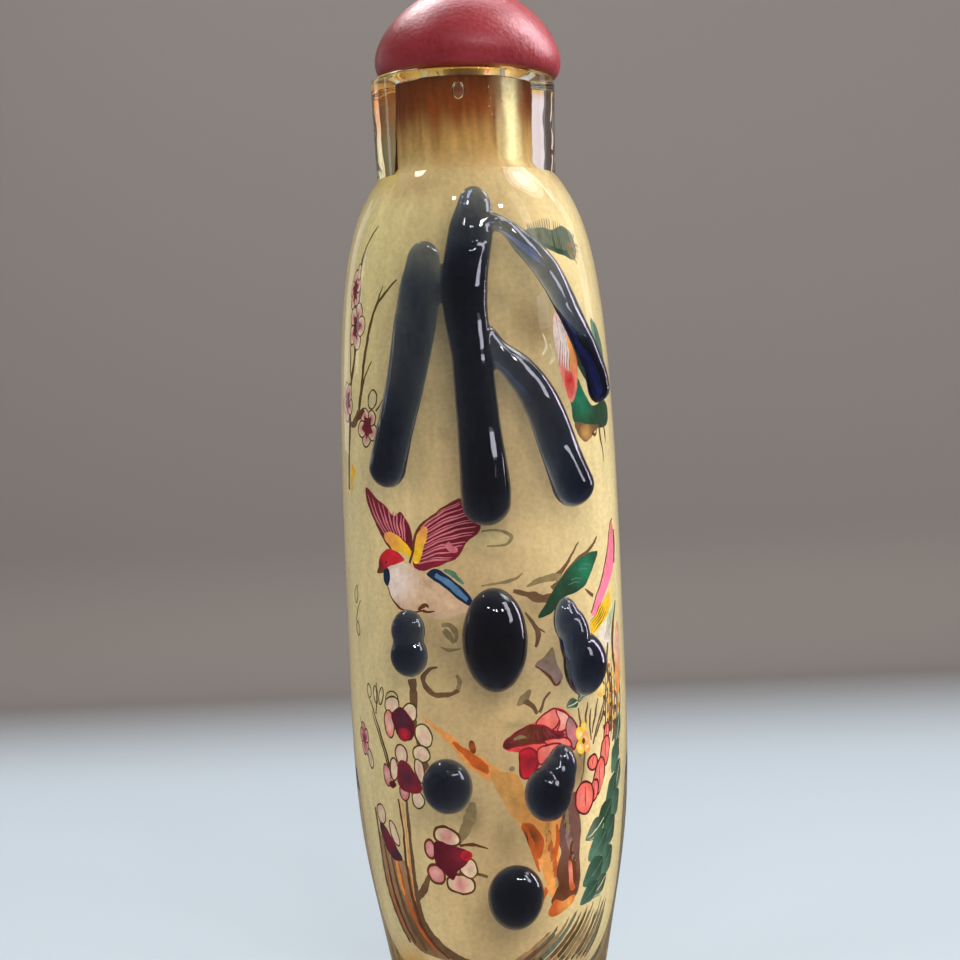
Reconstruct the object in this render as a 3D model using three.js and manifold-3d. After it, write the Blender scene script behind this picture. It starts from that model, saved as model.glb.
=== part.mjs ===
// A slim glass snuff bottle with dark blue glass applied to it as vine leaves over a bunch of six grapes.
// The bottle is a slightly flattened hollow vessel with a round neck. Its domed stopper rests on the lip,
// and the stopper's cork sits in the bore.
// Millimetres, +Z up, -Y is the front. The origin is the centre of the foot's underside.
import * as THREE from "three";
import { mergeVertices } from "three/addons/utils/BufferGeometryUtils.js";
import Module from "manifold-3d";

// ---- Driving dimensions ----
const neckTop = 84.8; // height of the lip at the axis
const lipRadius = 8.35;
const neckWaist = 8.1; // radius where the neck leaves the shoulder
const neckBase = 75.8; // height where the shoulder meets the neck
const lipSlope = 1.5; // degrees that the lip drops towards +X
const lipRound = 0.45; // rounding of the lip's outer edge
const mouthChamfer = 0.5;
const boreRadius = 4.05;
const boreEnd = 76.9; // height where the bore opens into the cavity

const bodyRadius = 12.5; // half the width across the front
const bodyFlattening = 1.5; // how much less the half-depth is than the half-width
const ovalTop = 63; // the height where the oval starts to turn into the round neck
const wall = 3.0;
const floorHeight = 2.6; // height of the cavity's lowest point

const footOuter = 8.4; // half-width of the flat foot rim
const footInner = 6.1;
const footHollow = 0.9; // depth of the hollow under the foot
const footRound = { halfWidth: 9.05, height: 1.0 }; // where the rounded edge meets the side

const stopperRadius = 8.45;
const stopperRim = 1.4; // height of its widest line above its underside
const stopperTuck = 0.6; // how much narrower its underside is than its widest line
const stopperDome = 7.05; // height of the dome above its widest line
const stopperFullness = 1.7; // exponent of the dome's curve: 2 is an ellipse, less is more pointed
const stopperSeat = 0.05; // clearance between the lip and the stopper where they are closest
const stopperLean = 2.5; // degrees that the stopper and its cork lean towards +X
const stopperOffset = 0.5; // how far the stopper sits off the cork's middle
const corkRadius = 3.85;
const corkTaper = 0.2;
const corkLength = 3.4;

const girth = 12.0; // mean radius that turns a distance around the body into an angle
const glassGap = 0.15; // clearance between the applied glass and the body
const bottleSides = 44;

// ---- Materials ----
const material = (color, roughness, metalness = 0) =>
  new THREE.MeshStandardMaterial({ color, roughness, metalness });
const clearGlass = material(0xe9d9a4, 0.06);
clearGlass.transparent = true;
clearGlass.opacity = 0.4;
const blueGlass = material(0x161c3a, 0.08);
const coralRed = material(0xa83c46, 0.55);
const corkBrown = material(0x9a6a3c, 0.85);

const point = (x, y) => new THREE.Vector2(x, y);

// ---- Outlines, as [half-width, height] ----
const lowerSide = new THREE.CubicBezierCurve(
  point(footRound.halfWidth, footRound.height),
  point(11.5, 15.1),
  point(bodyRadius, 15.1),
  point(bodyRadius, 31.1),
);
const upperSide = new THREE.CubicBezierCurve(
  point(bodyRadius, 41.1),
  point(bodyRadius, 66.1),
  point(11.3, 71.6),
  point(neckWaist, neckBase),
);
const innerFloor = new THREE.CubicBezierCurve(
  point(0, floorHeight),
  point(8.9, floorHeight),
  point(7.5, 8.6),
  point(bodyRadius - wall, 28),
);
const innerShoulder = new THREE.CubicBezierCurve(
  point(bodyRadius - wall, 47.1),
  point(bodyRadius - wall, 67.1),
  point(7.6, 72.1),
  point(boreRadius, boreEnd),
);
const outerSide = [...lowerSide.getPoints(7), ...upperSide.getPoints(11)];

// A round stretch from one angle to another, about a centre.
function round(centreX, centreY, radius, from, to, steps = 4) {
  const arc = new THREE.EllipseCurve(
    centreX, centreY, radius, radius,
    THREE.MathUtils.degToRad(from), THREE.MathUtils.degToRad(to), to < from,
  );
  return arc.getPoints(steps);
}

// ---- The body's section: an oval that turns into the round neck ----
function halfDepth(halfWidth, height) {
  const oval = 1 - THREE.MathUtils.smoothstep(height, ovalTop, neckBase);
  const reach = Math.sin((Math.min(1, halfWidth / 9) * Math.PI) / 2);
  return halfWidth - bodyFlattening * oval * reach;
}

function halfWidthAt(height) {
  const above = outerSide.findIndex((p) => p.y > height);
  const a = outerSide[above - 1];
  const b = outerSide[above];
  return THREE.MathUtils.mapLinear(height, a.y, b.y, a.x, b.x);
}

// The point of the body's surface at a distance around it from a face's middle line, lifted off it.
function onBody(face, across, height, lift) {
  const angle = across / girth;
  const wide = halfWidthAt(height);
  const deep = halfDepth(wide, height);
  const outward = new THREE.Vector2(Math.sin(angle) / wide, Math.cos(angle) / deep).normalize();
  return new THREE.Vector3(
    face * (wide * Math.sin(angle) + outward.x * lift),
    -face * (deep * Math.cos(angle) + outward.y * lift),
    height,
  );
}

// ---- Solids of revolution ----
function turned(profile, sides, section = (radius) => radius) {
  const lathe = new THREE.LatheGeometry(profile, sides);
  lathe.rotateX(Math.PI / 2);
  const places = lathe.getAttribute("position");
  for (let i = 0; i < places.count; i++) {
    const radius = Math.hypot(places.getX(i), places.getY(i));
    if (radius < 1e-6) continue;
    places.setY(i, (places.getY(i) / radius) * section(radius, places.getZ(i)));
  }
  return lathe;
}

// The lip isn't square to the neck: it drops towards +X.
function slantLip(geometry) {
  const places = geometry.getAttribute("position");
  const slope = Math.tan(THREE.MathUtils.degToRad(lipSlope));
  for (let i = 0; i < places.count; i++) {
    const share = THREE.MathUtils.smoothstep(places.getZ(i), boreEnd, neckTop);
    places.setZ(i, places.getZ(i) - places.getX(i) * slope * share);
  }
  return geometry;
}

function bottleSolid() {
  const hollow = [0, 0.4, 0.75, 1].map((part) =>
    point(footInner * part, footHollow * (1 - part * part)),
  );
  const profile = [
    ...hollow,
    ...round(footOuter, footRound.halfWidth - footOuter, footRound.halfWidth - footOuter, -90, -20, 3),
    ...outerSide,
    ...round(lipRadius - lipRound, neckTop - lipRound, lipRound, 0, 90, 3),
    point(boreRadius + mouthChamfer, neckTop),
    point(boreRadius, neckTop - mouthChamfer),
    ...innerShoulder.getPoints(7).reverse(),
    ...innerFloor.getPoints(8).reverse(),
  ];
  return slantLip(turned(profile, bottleSides, halfDepth));
}

// The stopper and the cork start from the middle of the stopper's underside.
function stopperSolid() {
  const rim = [-90, -60, -30].map((angle) => {
    const turn = THREE.MathUtils.degToRad(angle);
    return point(stopperRadius - stopperTuck * (1 - Math.cos(turn)), stopperRim * (1 + Math.sin(turn)));
  });
  const dome = [];
  for (let step = 0; step <= 10; step++) {
    const turn = (step / 10) * (Math.PI / 2);
    const power = 2 / stopperFullness;
    dome.push(
      point(
        step === 10 ? 0 : stopperRadius * Math.cos(turn) ** power,
        stopperRim + stopperDome * Math.sin(turn) ** power,
      ),
    );
  }
  return turned([point(0, 0), ...rim, ...dome], 32);
}

function corkSolid() {
  const profile = [
    point(0, -corkLength),
    point(corkRadius - corkTaper, -corkLength),
    point(corkRadius, -0.4),
    point(corkRadius, 0),
    point(0, 0),
  ];
  return turned(profile, 28);
}

// ---- Applied blue glass ----
// Closes a grid of points, whose rows run round a shape and whose first and last rows meet in a point.
function closedGrid(rows) {
  const size = rows[0].length;
  const places = rows.flat().flatMap((p) => [p.x, p.y, p.z]);
  const faces = [];
  for (let r = 0; r + 1 < rows.length; r++) {
    for (let c = 0; c < size; c++) {
      const next = (c + 1) % size;
      const [a, b] = [r * size + c, r * size + next];
      const [d, e] = [a + size, b + size];
      if (r > 0) faces.push(a, b, e);
      if (r + 2 < rows.length) faces.push(a, e, d);
    }
  }
  const raw = new THREE.BufferGeometry();
  raw.setAttribute("position", new THREE.Float32BufferAttribute(places, 3));
  raw.setIndex(faces);
  return mergeVertices(raw, 1e-4);
}

// The distance from a drop's middle to its edge at an angle: the outermost of its round lobes.
function edgeOf(lobes, angle) {
  const ray = point(Math.cos(angle), Math.sin(angle));
  const reaches = lobes.map(({ across, up, wide, tall }) => {
    const p = point(ray.x / wide, ray.y / tall);
    const q = point(across / wide, up / tall);
    const along = p.dot(q) / p.lengthSq();
    const inside = along * along - (q.lengthSq() - 1) / p.lengthSq();
    return inside < 0 ? 0 : along + Math.sqrt(inside);
  });
  const sharp = 5; // high powers keep the lobes apart, and low ones blend them
  return reaches.reduce((sum, reach) => sum + reach ** sharp, 0) ** (1 / sharp);
}

// A domed drop of glass. Its lobes are round spots about the drop's middle.
function dropSolid(face, { across, up, relief, lobes }) {
  const around = 16;
  const level = (share, lift) =>
    Array.from({ length: around }, (_, step) => {
      const angle = (step / around) * 2 * Math.PI;
      const reach = share * edgeOf(lobes, angle);
      return onBody(face, across + reach * Math.cos(angle), up + reach * Math.sin(angle), glassGap + lift);
    });
  const rows = [0, 0.5, 1].map((share) => level(share, 0));
  for (const share of [0.94, 0.78, 0.5, 0.25, 0]) rows.push(level(share, relief * Math.sqrt(1 - share ** 2)));
  return closedGrid(rows);
}

// One stroke of the vine: a half-round trail with round ends along a smooth line of
// [distance across, height, half-width] stops.
function trailSolid(face, stops, reliefShare) {
  const line = new THREE.CatmullRomCurve3(stops.map((s) => new THREE.Vector3(...s)), false, "centripetal");
  const length = line.getLength();
  const steps = Math.max(8, Math.round(length / 1.6));
  const rows = [];
  for (let step = 0; step <= steps; step++) {
    const along = 0.5 - 0.5 * Math.cos((Math.PI * step) / steps);
    const here = line.getPoint(along);
    const way = line.getTangent(along).setZ(0).normalize();
    const toEnd = Math.min(along, 1 - along) * length;
    const endRound = toEnd < here.z ? Math.sqrt(1 - (1 - toEnd / here.z) ** 2) : 1;
    const wide = here.z * endRound;
    const row = [];
    for (let turn = 0; turn <= 6; turn++) {
      const angle = (turn / 6) * Math.PI;
      const side = -wide * Math.cos(angle);
      row.push(onBody(face, here.x + way.y * side, here.y - way.x * side,
        glassGap + wide * reliefShare * Math.sin(angle)));
    }
    for (const share of [0.5, 0, -0.5]) {
      row.push(onBody(face, here.x + way.y * wide * share, here.y - way.x * wide * share, glassGap));
    }
    rows.push(row);
  }
  return closedGrid(rows);
}

const wasm = await Module();
wasm.setup();

function joined(solids) {
  const parts = solids.map(
    (solid) =>
      new wasm.Manifold(
        new wasm.Mesh({
          numProp: 3,
          vertProperties: solid.getAttribute("position").array,
          triVerts: new Uint32Array(solid.index.array),
        }),
      ),
  );
  const mesh = parts.reduce((whole, part) => whole.add(part)).getMesh();
  const geometry = new THREE.BufferGeometry();
  geometry.setAttribute("position", new THREE.BufferAttribute(mesh.vertProperties, 3));
  geometry.setIndex(new THREE.BufferAttribute(mesh.triVerts, 1));
  return geometry;
}

// ---- The vine: a middle stem with leaves that hang beside it. Each stop is [across, height, half-width]. ----
const trailRelief = 0.85; // height of a trail over its half-width
const frontVine = [
  [
    [1.1, 74, 1.8], [0.2, 70.1, 2.2], [-0.6, 65.1, 2.1], [-0.2, 59.1, 1.75], [0.15, 53.1, 1.85],
    [0.5, 47.6, 2.15], [0.5, 44.4, 2.1],
  ],
  [
    [-4.3, 69.4, 1.7], [-4.7, 65.6, 2.1], [-5.3, 62.1, 2.15], [-6.2, 57.6, 2.1], [-7.5, 52.6, 1.95],
    [-8.7, 48.1, 1.85],
  ],
  [
    [-4.2, 63.9, 0.9], [-2.6, 65, 0.8], [-1, 65.7, 0.9],
  ],
  [
    [1.2, 71.1, 0.9], [3.4, 70.4, 0.8], [5.2, 68.9, 1.2], [7.6, 66.4, 1.5], [9.2, 63.7, 1.5],
    [10.9, 60.3, 1.4], [12.3, 57.6, 1.4], [12.9, 54.8, 1.4],
  ],
  [
    [0.6, 61.6, 1], [2, 59.5, 1.1], [3.9, 57.7, 1.5], [5.7, 55, 1.8], [7.2, 51.1, 1.95],
    [9.1, 45.8, 2.1],
  ],
];
const backVine = [
  [
    [0, 72.6, 1.5], [0.3, 66.1, 2], [-0.2, 57.1, 1.9], [0, 47.1, 2.1],
  ],
  [
    [-1, 67.1, 1], [-4, 65.1, 1.3], [-6.2, 59.1, 1.7], [-7.8, 51.1, 1.7],
  ],
  [
    [1, 64.1, 1], [4, 61.6, 1.3], [6.4, 56.1, 1.7], [7.6, 49.1, 1.7],
  ],
];

// ---- The grapes, in rows of three, two and one ----
const oval = (wide, tall) => [{ across: 0, up: 0, wide, tall }];
const frontGrapes = [
  {
    across: -6.85, up: 34.5, relief: 1.5,
    lobes: [{ across: 0, up: 1.1, wide: 1.65, tall: 1.85 }, { across: 0, up: -1.05, wide: 1.8, tall: 1.95 }],
  },
  { across: 0.75, up: 34.55, relief: 2.1, lobes: oval(2.75, 4.55) },
  {
    across: 8.3, up: 33.5, relief: 1.9,
    lobes: [
      { across: -1.1, up: 2.4, wide: 1.3, tall: 2 },
      { across: -0.4, up: 0.8, wide: 1.5, tall: 2.7 },
      { across: 0.6, up: -1.5, wide: 2.2, tall: 2.9 },
    ],
  },
  { across: -3.9, up: 22, relief: 1.7, lobes: oval(2.25, 2.45) },
  {
    across: 5.3, up: 21.7, relief: 1.9,
    lobes: [
      { across: 0.9, up: 1.5, wide: 1.4, tall: 2 },
      { across: 0.4, up: 0.5, wide: 1.7, tall: 2.3 },
      { across: -0.4, up: -0.7, wide: 2.2, tall: 2.5 },
    ],
  },
  { across: 1.8, up: 12, relief: 2, lobes: oval(2.7, 2.95) },
];
const backGrapes = [
  [-7, 34.1, 1.9, 2.3], [0, 34.7, 2.5, 3.4], [7, 34.1, 1.9, 2.3],
  [-4, 22.6, 2.2, 2.5], [4, 22.6, 2.2, 2.5], [0, 12.6, 2.5, 2.8],
].map(([across, up, wide, tall]) => ({
  across, up, relief: across === 0 ? 2.1 : 1.7, lobes: oval(wide, tall),
}));

// ---- The whole bottle ----
const snuffBottle = new THREE.Group();

// The leaning stopper touches the slanted lip on the side that it leans to.
const stopperGroup = new THREE.Group();
const rise = Math.tan(THREE.MathUtils.degToRad(stopperLean)) - Math.tan(THREE.MathUtils.degToRad(lipSlope));
stopperGroup.rotation.y = THREE.MathUtils.degToRad(stopperLean);
stopperGroup.position.z = neckTop + stopperSeat + (lipRadius - lipRound) * rise;
snuffBottle.add(stopperGroup);

function place(name, geometry, finish, group = snuffBottle) {
  const mesh = new THREE.Mesh(geometry, finish);
  mesh.name = name;
  group.add(mesh);
  return mesh;
}

place("bottle", bottleSolid(), clearGlass);
place("stopper", stopperSolid(), coralRed, stopperGroup).position.x = stopperOffset;
place("cork", corkSolid(), corkBrown, stopperGroup);

const sides = [
  { side: "front", face: 1, vine: frontVine, grapes: frontGrapes },
  { side: "back", face: -1, vine: backVine, grapes: backGrapes },
];
for (const { side, face, vine, grapes } of sides) {
  place(`vine_${side}`, joined(vine.map((stops) => trailSolid(face, stops, trailRelief))), blueGlass);
  grapes.forEach((grape, i) => place(`grape_${side}_${i + 1}`, dropSolid(face, grape), blueGlass));
}

export default snuffBottle;
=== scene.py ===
import bisect
import math

import bpy
from mathutils import Matrix, Vector, noise
from mathutils.geometry import delaunay_2d_cdt, interpolate_bezier


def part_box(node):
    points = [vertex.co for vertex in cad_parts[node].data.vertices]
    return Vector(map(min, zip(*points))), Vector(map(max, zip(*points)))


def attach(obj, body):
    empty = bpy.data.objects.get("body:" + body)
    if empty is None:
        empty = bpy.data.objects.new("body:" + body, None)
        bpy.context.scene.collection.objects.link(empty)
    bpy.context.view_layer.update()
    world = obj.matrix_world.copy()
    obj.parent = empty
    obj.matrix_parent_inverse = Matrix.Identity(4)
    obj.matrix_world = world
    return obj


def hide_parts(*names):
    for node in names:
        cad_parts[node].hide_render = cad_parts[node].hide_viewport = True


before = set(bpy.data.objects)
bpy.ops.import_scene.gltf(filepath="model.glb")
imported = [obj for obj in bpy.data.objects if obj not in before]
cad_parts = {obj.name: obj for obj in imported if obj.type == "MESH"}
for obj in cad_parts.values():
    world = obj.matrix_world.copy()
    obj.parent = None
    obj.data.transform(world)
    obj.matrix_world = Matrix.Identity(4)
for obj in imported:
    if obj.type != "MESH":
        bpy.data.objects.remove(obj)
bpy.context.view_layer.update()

mm = 0.001


# Camera, room and lamps
cameraView = {"aside": 0.06, "distance": 213.6, "height": 48.4, "lens": 88.1, "lean": 2.45}
room = {
    "floorWidth": 3.0, "floorFront": -1.4, "floorBack": 0.33, "bend": 0.035, "fade": 0.16, "wallTop": 1.2,
    "airColour": (0.16, 0.15, 0.15), "airStrength": 1.0,
    "tableTone": (0.45, 0.52, 0.58), "wallTone": (0.20, 0.178, 0.166),
}
lamps = {
    # place, what it faces, width, height (m), watts, colour, seen in "all", nothing or one kind of piece
    "rightWindow": ((0.28, 0.143, 0.19), (0, 0, 0.08), 0.08, 0.20, 0.05, (0.93, 0.89, 1.0), "all"),
    "leftBack": ((-0.232, 0.262, 0.14), (0, 0, 0.08), 0.085, 0.16, 0.032, (0.98, 0.86, 0.90), "all"),
    "leftWindow": ((-0.30, 0.12, 0.12), (0, 0, 0.08), 0.03, 0.06, 0.008, (1.0, 0.98, 0.94), "all"),
    "rightTall": ((0.24, -0.15, 0.21), (0, 0, 0.05), 0.06, 0.20, 0.05, (0.96, 0.93, 1.0), "all"),
    "rightPane": ((0.24, -0.15, 0.215), (0, 0, 0.05), 0.085, 0.20, 0.40, (0.88, 0.84, 1.0), "blue"),
    "shoulderWide": ((0.205, 0.014, 0.325), (0, 0, 0.07), 0.17, 0.17, 0.18, (1.0, 0.98, 0.95), "all"),
    "shoulderMiddle": ((0.202, 0.014, 0.322), (0, 0, 0.07), 0.12, 0.12, 0.10, (1.0, 0.98, 0.95), "all"),
    "shoulderCore": ((0.199, 0.014, 0.318), (0, 0, 0.07), 0.07, 0.07, 0.05, (1.0, 0.98, 0.96), "all"),
    "shoulderLeft": ((-0.175, 0.055, 0.372), (0, 0, 0.07), 0.10, 0.05, 0.13, (1.0, 0.98, 0.96), "all"),
    "leftHigh": ((-0.12, 0.22, 0.37), (0, 0, 0.09), 0.15, 0.12, 0.75, (1.0, 0.98, 0.96), "all"),
    "shoulderArc": ((0.25, 0.11, 0.31), (0, 0, 0.07), 0.04, 0.16, 0.05, (1.0, 0.98, 0.96), "all"),
    "rightHigh": ((0.27, 0.09, 0.25), (0, 0, 0.09), 0.14, 0.28, 1.3, (1.0, 0.90, 0.94), "stopper_coral"),
    "crown": ((0.02, 0.16, 0.42), (0, 0, 0.09), 0.30, 0.16, 0.6, (1.0, 0.90, 0.94), "stopper_coral"),
    "vineGlow": ((0.29, 0.10, 0.12), (0, 0, 0.05), 0.06, 0.22, 0.42, (0.90, 0.76, 0.96), "blue"),
    "fill": ((0.10, -0.62, 0.30), (0, 0, 0.05), 0.45, 0.30, 1.95, (1.0, 0.96, 0.93), None),
    "rightFill": ((0.55, -0.08, 0.20), (0, 0, 0.05), 0.30, 0.40, 1.9, (1.0, 0.97, 0.93), None),
    "leftFill": ((-0.50, -0.36, 0.18), (0, 0, 0.05), 0.30, 0.40, 0.9, (1.0, 0.97, 0.95), None),
    "topFill": ((0.0, 0.10, 0.60), (0, 0, 0.04), 0.30, 0.30, 0.8, (1.0, 0.98, 0.96), None),
}
spots = {
    "spotA": ((0.09, -0.50, 0.42), 0.035, 0.22),
    "spotB": ((0.16, -0.44, 0.36), 0.028, 0.18),
    "spotC": ((-0.12, -0.46, 0.52), 0.03, 0.15),
    "spotD": ((0.22, -0.30, 0.30), 0.03, 0.15),
}


litOnly = {}  # the pieces that some lamps light alone, by the start of their name or slot


def setCamera():
    bpy.ops.object.camera_add(
        location=(cameraView["aside"] * mm, -cameraView["distance"] * mm, cameraView["height"] * mm),
        rotation=(math.radians(90), math.radians(cameraView["lean"]), 0),
    )
    camera = bpy.context.object
    camera.data.lens = cameraView["lens"]
    camera.data.clip_start = 0.01
    bpy.context.scene.camera = camera


def areaLamp(name, place, facing, width, height, watts, colour=(1, 1, 1), seenIn="all"):
    bpy.ops.object.light_add(type="AREA", location=place)
    lamp = bpy.context.object
    lamp.name = name
    lamp.rotation_euler = (Vector(facing) - Vector(place)).to_track_quat("-Z", "Y").to_euler()
    lamp.data.shape = "ELLIPSE" if name.startswith("shoulder") else "RECTANGLE"
    lamp.data.size = width
    lamp.data.size_y = height
    lamp.data.energy = watts
    lamp.data.color = colour
    lamp.visible_glossy = seenIn is not None
    lamp.visible_transmission = seenIn is not None
    if seenIn not in ("all", None):
        if seenIn not in litOnly:
            litOnly[seenIn] = bpy.data.collections.new(f"lit {seenIn}")
        lamp.light_linking.receiver_collection = litOnly[seenIn]


def makeSweep():
    # the table runs back and turns up into the wall in one soft bend
    steps = 12
    back, bend = room["floorBack"], room["bend"]
    edge = [Vector((0, room["floorFront"], 0)), Vector((0, back, 0))]
    for step in range(1, steps + 1):
        turn = math.pi / 2 * step / steps
        edge.append(Vector((0, back + bend * math.sin(turn), bend * (1 - math.cos(turn)))))
    edge.append(Vector((0, back + bend, room["wallTop"])))
    bpy.ops.mesh.primitive_plane_add(size=0.1)
    sweep = bpy.context.object
    sweep.name = "sweep"
    bpy.ops.object.mode_set(mode="EDIT")
    bpy.ops.mesh.merge(type="CENTER")
    bpy.ops.transform.translate(value=edge[0] - Vector((room["floorWidth"] / 2, 0, 0)))
    for here, there in zip(edge, edge[1:]):
        bpy.ops.mesh.extrude_region_move(TRANSFORM_OT_translate={"value": there - here})
    bpy.ops.mesh.select_all(action="SELECT")
    bpy.ops.mesh.extrude_region_move(TRANSFORM_OT_translate={"value": (room["floorWidth"], 0, 0)})
    bpy.ops.mesh.select_all(action="SELECT")
    bpy.ops.mesh.normals_make_consistent(inside=False)
    bpy.ops.object.mode_set(mode="OBJECT")
    bpy.ops.object.shade_smooth()
    sweep.data.materials.append(sweepMaterial())
    sweep.visible_glossy = False


def sweepMaterial():
    material = plainMaterial("sweep", room["tableTone"], 0.7)
    shader = material.node_tree.nodes["Principled BSDF"]
    shader.inputs["Specular IOR Level"].default_value = 0.2
    parts = placeParts(material)
    far = node(material, "ShaderNodeMapRange")
    far.interpolation_type = "SMOOTHSTEP"
    far.inputs["From Min"].default_value = room["floorBack"] - room["fade"]
    far.inputs["From Max"].default_value = room["floorBack"] + room["bend"] * 0.98
    link(material, parts.outputs["Y"], far.inputs["Value"])
    tone = blend(material, far.outputs["Result"], room["tableTone"], room["wallTone"])
    link(material, tone, shader.inputs["Base Color"])
    return material


def setRoom():
    world = bpy.data.worlds.new("room")
    bpy.context.scene.world = world
    world.use_nodes = True
    air = world.node_tree.nodes["Background"]
    air.inputs["Color"].default_value = (*room["airColour"], 1)
    air.inputs["Strength"].default_value = room["airStrength"]
    makeSweep()
    for name, setting in lamps.items():
        areaLamp(name, *setting)
    for name, (place, size, watts) in spots.items():
        areaLamp(name, place, (0, 0, 0.05), size, size, watts)
    scene = bpy.context.scene
    scene.view_settings.view_transform = "Standard"
    scene.cycles.max_bounces = 24
    scene.cycles.transmission_bounces = 20
    scene.cycles.transparent_max_bounces = 24
    scene.cycles.glossy_bounces = 8
    scene.cycles.caustics_refractive = False
    scene.cycles.caustics_reflective = False


# Small tools for materials
def plainMaterial(name, colour, roughness):
    material = bpy.data.materials.new(name)
    material.use_nodes = True
    shader = material.node_tree.nodes["Principled BSDF"]
    shader.inputs["Base Color"].default_value = (*colour, 1)
    shader.inputs["Roughness"].default_value = roughness
    return material


def node(owner, kind, **values):
    # a node in a material or in a node group, with its settings and its constant inputs
    tree = getattr(owner, "node_tree", owner)
    made = tree.nodes.new(kind)
    for name, value in values.items():
        if name in made.inputs:
            made.inputs[name].default_value = value
        else:
            setattr(made, name, value)
    return made


def link(owner, source, target):
    getattr(owner, "node_tree", owner).links.new(source, target)


def placeParts(material):
    parts = node(material, "ShaderNodeSeparateXYZ")
    link(material, node(material, "ShaderNodeTexCoord").outputs["Object"], parts.inputs["Vector"])
    return parts


def product(material, first, second):
    made = node(material, "ShaderNodeMath", operation="MULTIPLY")
    link(material, first, made.inputs[0])
    link(material, second, made.inputs[1])
    return made.outputs[0]


def mapped(material, value, low, high, toLow, toHigh):
    made = node(material, "ShaderNodeMapRange")
    for name, setting in (("From Min", low), ("From Max", high), ("To Min", toLow), ("To Max", toHigh)):
        made.inputs[name].default_value = setting
    link(material, value, made.inputs["Value"])
    return made.outputs["Result"]


def blend(material, share, first, second):
    made = node(material, "ShaderNodeMix", data_type="RGBA")
    for socket, colour in ((6, first), (7, second)):
        if isinstance(colour, tuple):
            made.inputs[socket].default_value = (*colour, 1)
        else:
            link(material, colour, made.inputs[socket])
    link(material, share, made.inputs["Factor"])
    return made.outputs[2]


def grainGroup():
    # the noise that every material's clouds, streaks, grain and waves are made of
    group = bpy.data.node_groups.new("grain", "ShaderNodeTree")
    sockets = (("Place", "NodeSocketVector"), ("Stretch", "NodeSocketVector"),
               ("Detail", "NodeSocketFloat"), ("Roughness", "NodeSocketFloat"))
    for name, kind in sockets:
        group.interface.new_socket(name, in_out="INPUT", socket_type=kind)
    group.interface.new_socket("Grain", in_out="OUTPUT", socket_type="NodeSocketFloat")
    given = node(group, "NodeGroupInput")
    pulled = node(group, "ShaderNodeMapping")
    made = node(group, "ShaderNodeTexNoise", Scale=1.0)
    out = node(group, "NodeGroupOutput")
    link(group, given.outputs["Place"], pulled.inputs["Vector"])
    link(group, given.outputs["Stretch"], pulled.inputs["Scale"])
    link(group, pulled.outputs["Vector"], made.inputs["Vector"])
    link(group, given.outputs["Detail"], made.inputs["Detail"])
    link(group, given.outputs["Roughness"], made.inputs["Roughness"])
    link(group, made.outputs["Fac"], out.inputs["Grain"])
    return group


grain = grainGroup()


def grainOf(material, place, stretch, detail=3.0, roughness=0.55):
    made = node(material, "ShaderNodeGroup", node_tree=grain)
    made.inputs["Stretch"].default_value = stretch if isinstance(stretch, tuple) else (stretch,) * 3
    made.inputs["Detail"].default_value = detail
    made.inputs["Roughness"].default_value = roughness
    link(material, place, made.inputs["Place"])
    return made.outputs["Grain"]


# Shape of the bottle, in millimetres; the same curves as the solid's
glass = {
    "lipRound": 0.45, "mouthChamfer": 0.5, "lipRadius": 8.35, "neckWaist": 8.1, "neckBase": 75.8,
    "neckTop": 84.8, "lipSlope": math.radians(1.5),
    "boreRadius": 4.05, "boreEnd": 76.9, "wall": 3.0, "ovalTop": 63.0, "ovalFrom": 9.0,
    "refraction": 1.5, "footOuter": 8.4, "footInner": 6.1, "footHollow": 0.9, "footRound": (9.05, 1.0),
    "lowerSide": ((11.5, 15.1), 15.1, 31.1), "upperSide": (41.1, 66.1, (11.3, 71.6)),
    "floorHeight": 2.6, "innerFloor": (8.9, (7.5, 8.6), 28.0),
    "innerShoulder": (47.1, 67.1, (7.6, 72.1)), "turns": 144,
}
bottleBox = [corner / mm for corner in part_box("bottle")]
bodyRadius = bottleBox[1].x
flattening = bottleBox[1].x - bottleBox[1].y
girth = 12.0  # mean radius, which turns a distance around the body into an angle


def smooth(value, low, high):
    # 0 at low and 1 at high, with soft ends
    share = min(1, max(0, (value - low) / (high - low)))
    return share * share * (3 - 2 * share)


def curvePoints(start, first, second, end, steps):
    corners = [Vector((x, 0, z)) for x, z in (start, first, second, end)]
    return interpolate_bezier(*corners, steps + 1)


def arcPoints(centre, radius, startAngle, endAngle, steps):
    made = []
    for step in range(steps + 1):
        angle = math.radians(startAngle + (endAngle - startAngle) * step / steps)
        made.append(Vector((centre[0] + radius * math.cos(angle), 0, centre[1] + radius * math.sin(angle))))
    return made


def outerOutline():
    lowHandle, lowRise, lowEnd = glass["lowerSide"]
    highStart, highRise, highHandle = glass["upperSide"]
    low = curvePoints(glass["footRound"], lowHandle, (bodyRadius, lowRise), (bodyRadius, lowEnd), 34)
    high = curvePoints(
        (bodyRadius, highStart), (bodyRadius, highRise), highHandle,
        (glass["neckWaist"], glass["neckBase"]), 44)
    return low + high


def innerOutline():
    inside = bodyRadius - glass["wall"]
    floorReach, floorHandle, wallStart = glass["innerFloor"]
    wallEnd, shoulderRise, shoulderHandle = glass["innerShoulder"]
    bowl = curvePoints(
        (0, glass["floorHeight"]), (floorReach, glass["floorHeight"]), floorHandle, (inside, wallStart), 40)
    shoulder = curvePoints(
        (inside, wallEnd), (inside, shoulderRise), shoulderHandle, (glass["boreRadius"], glass["boreEnd"]),
        36)
    return bowl + shoulder


outerPoints = outerOutline()
innerPoints = innerOutline()


def halfDepth(halfWidth, height):
    oval = 1 - smooth(height, glass["ovalTop"], glass["neckBase"])
    full = min(1, halfWidth / glass["ovalFrom"])
    return halfWidth - flattening * oval * math.sin(full * math.pi / 2)


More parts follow.
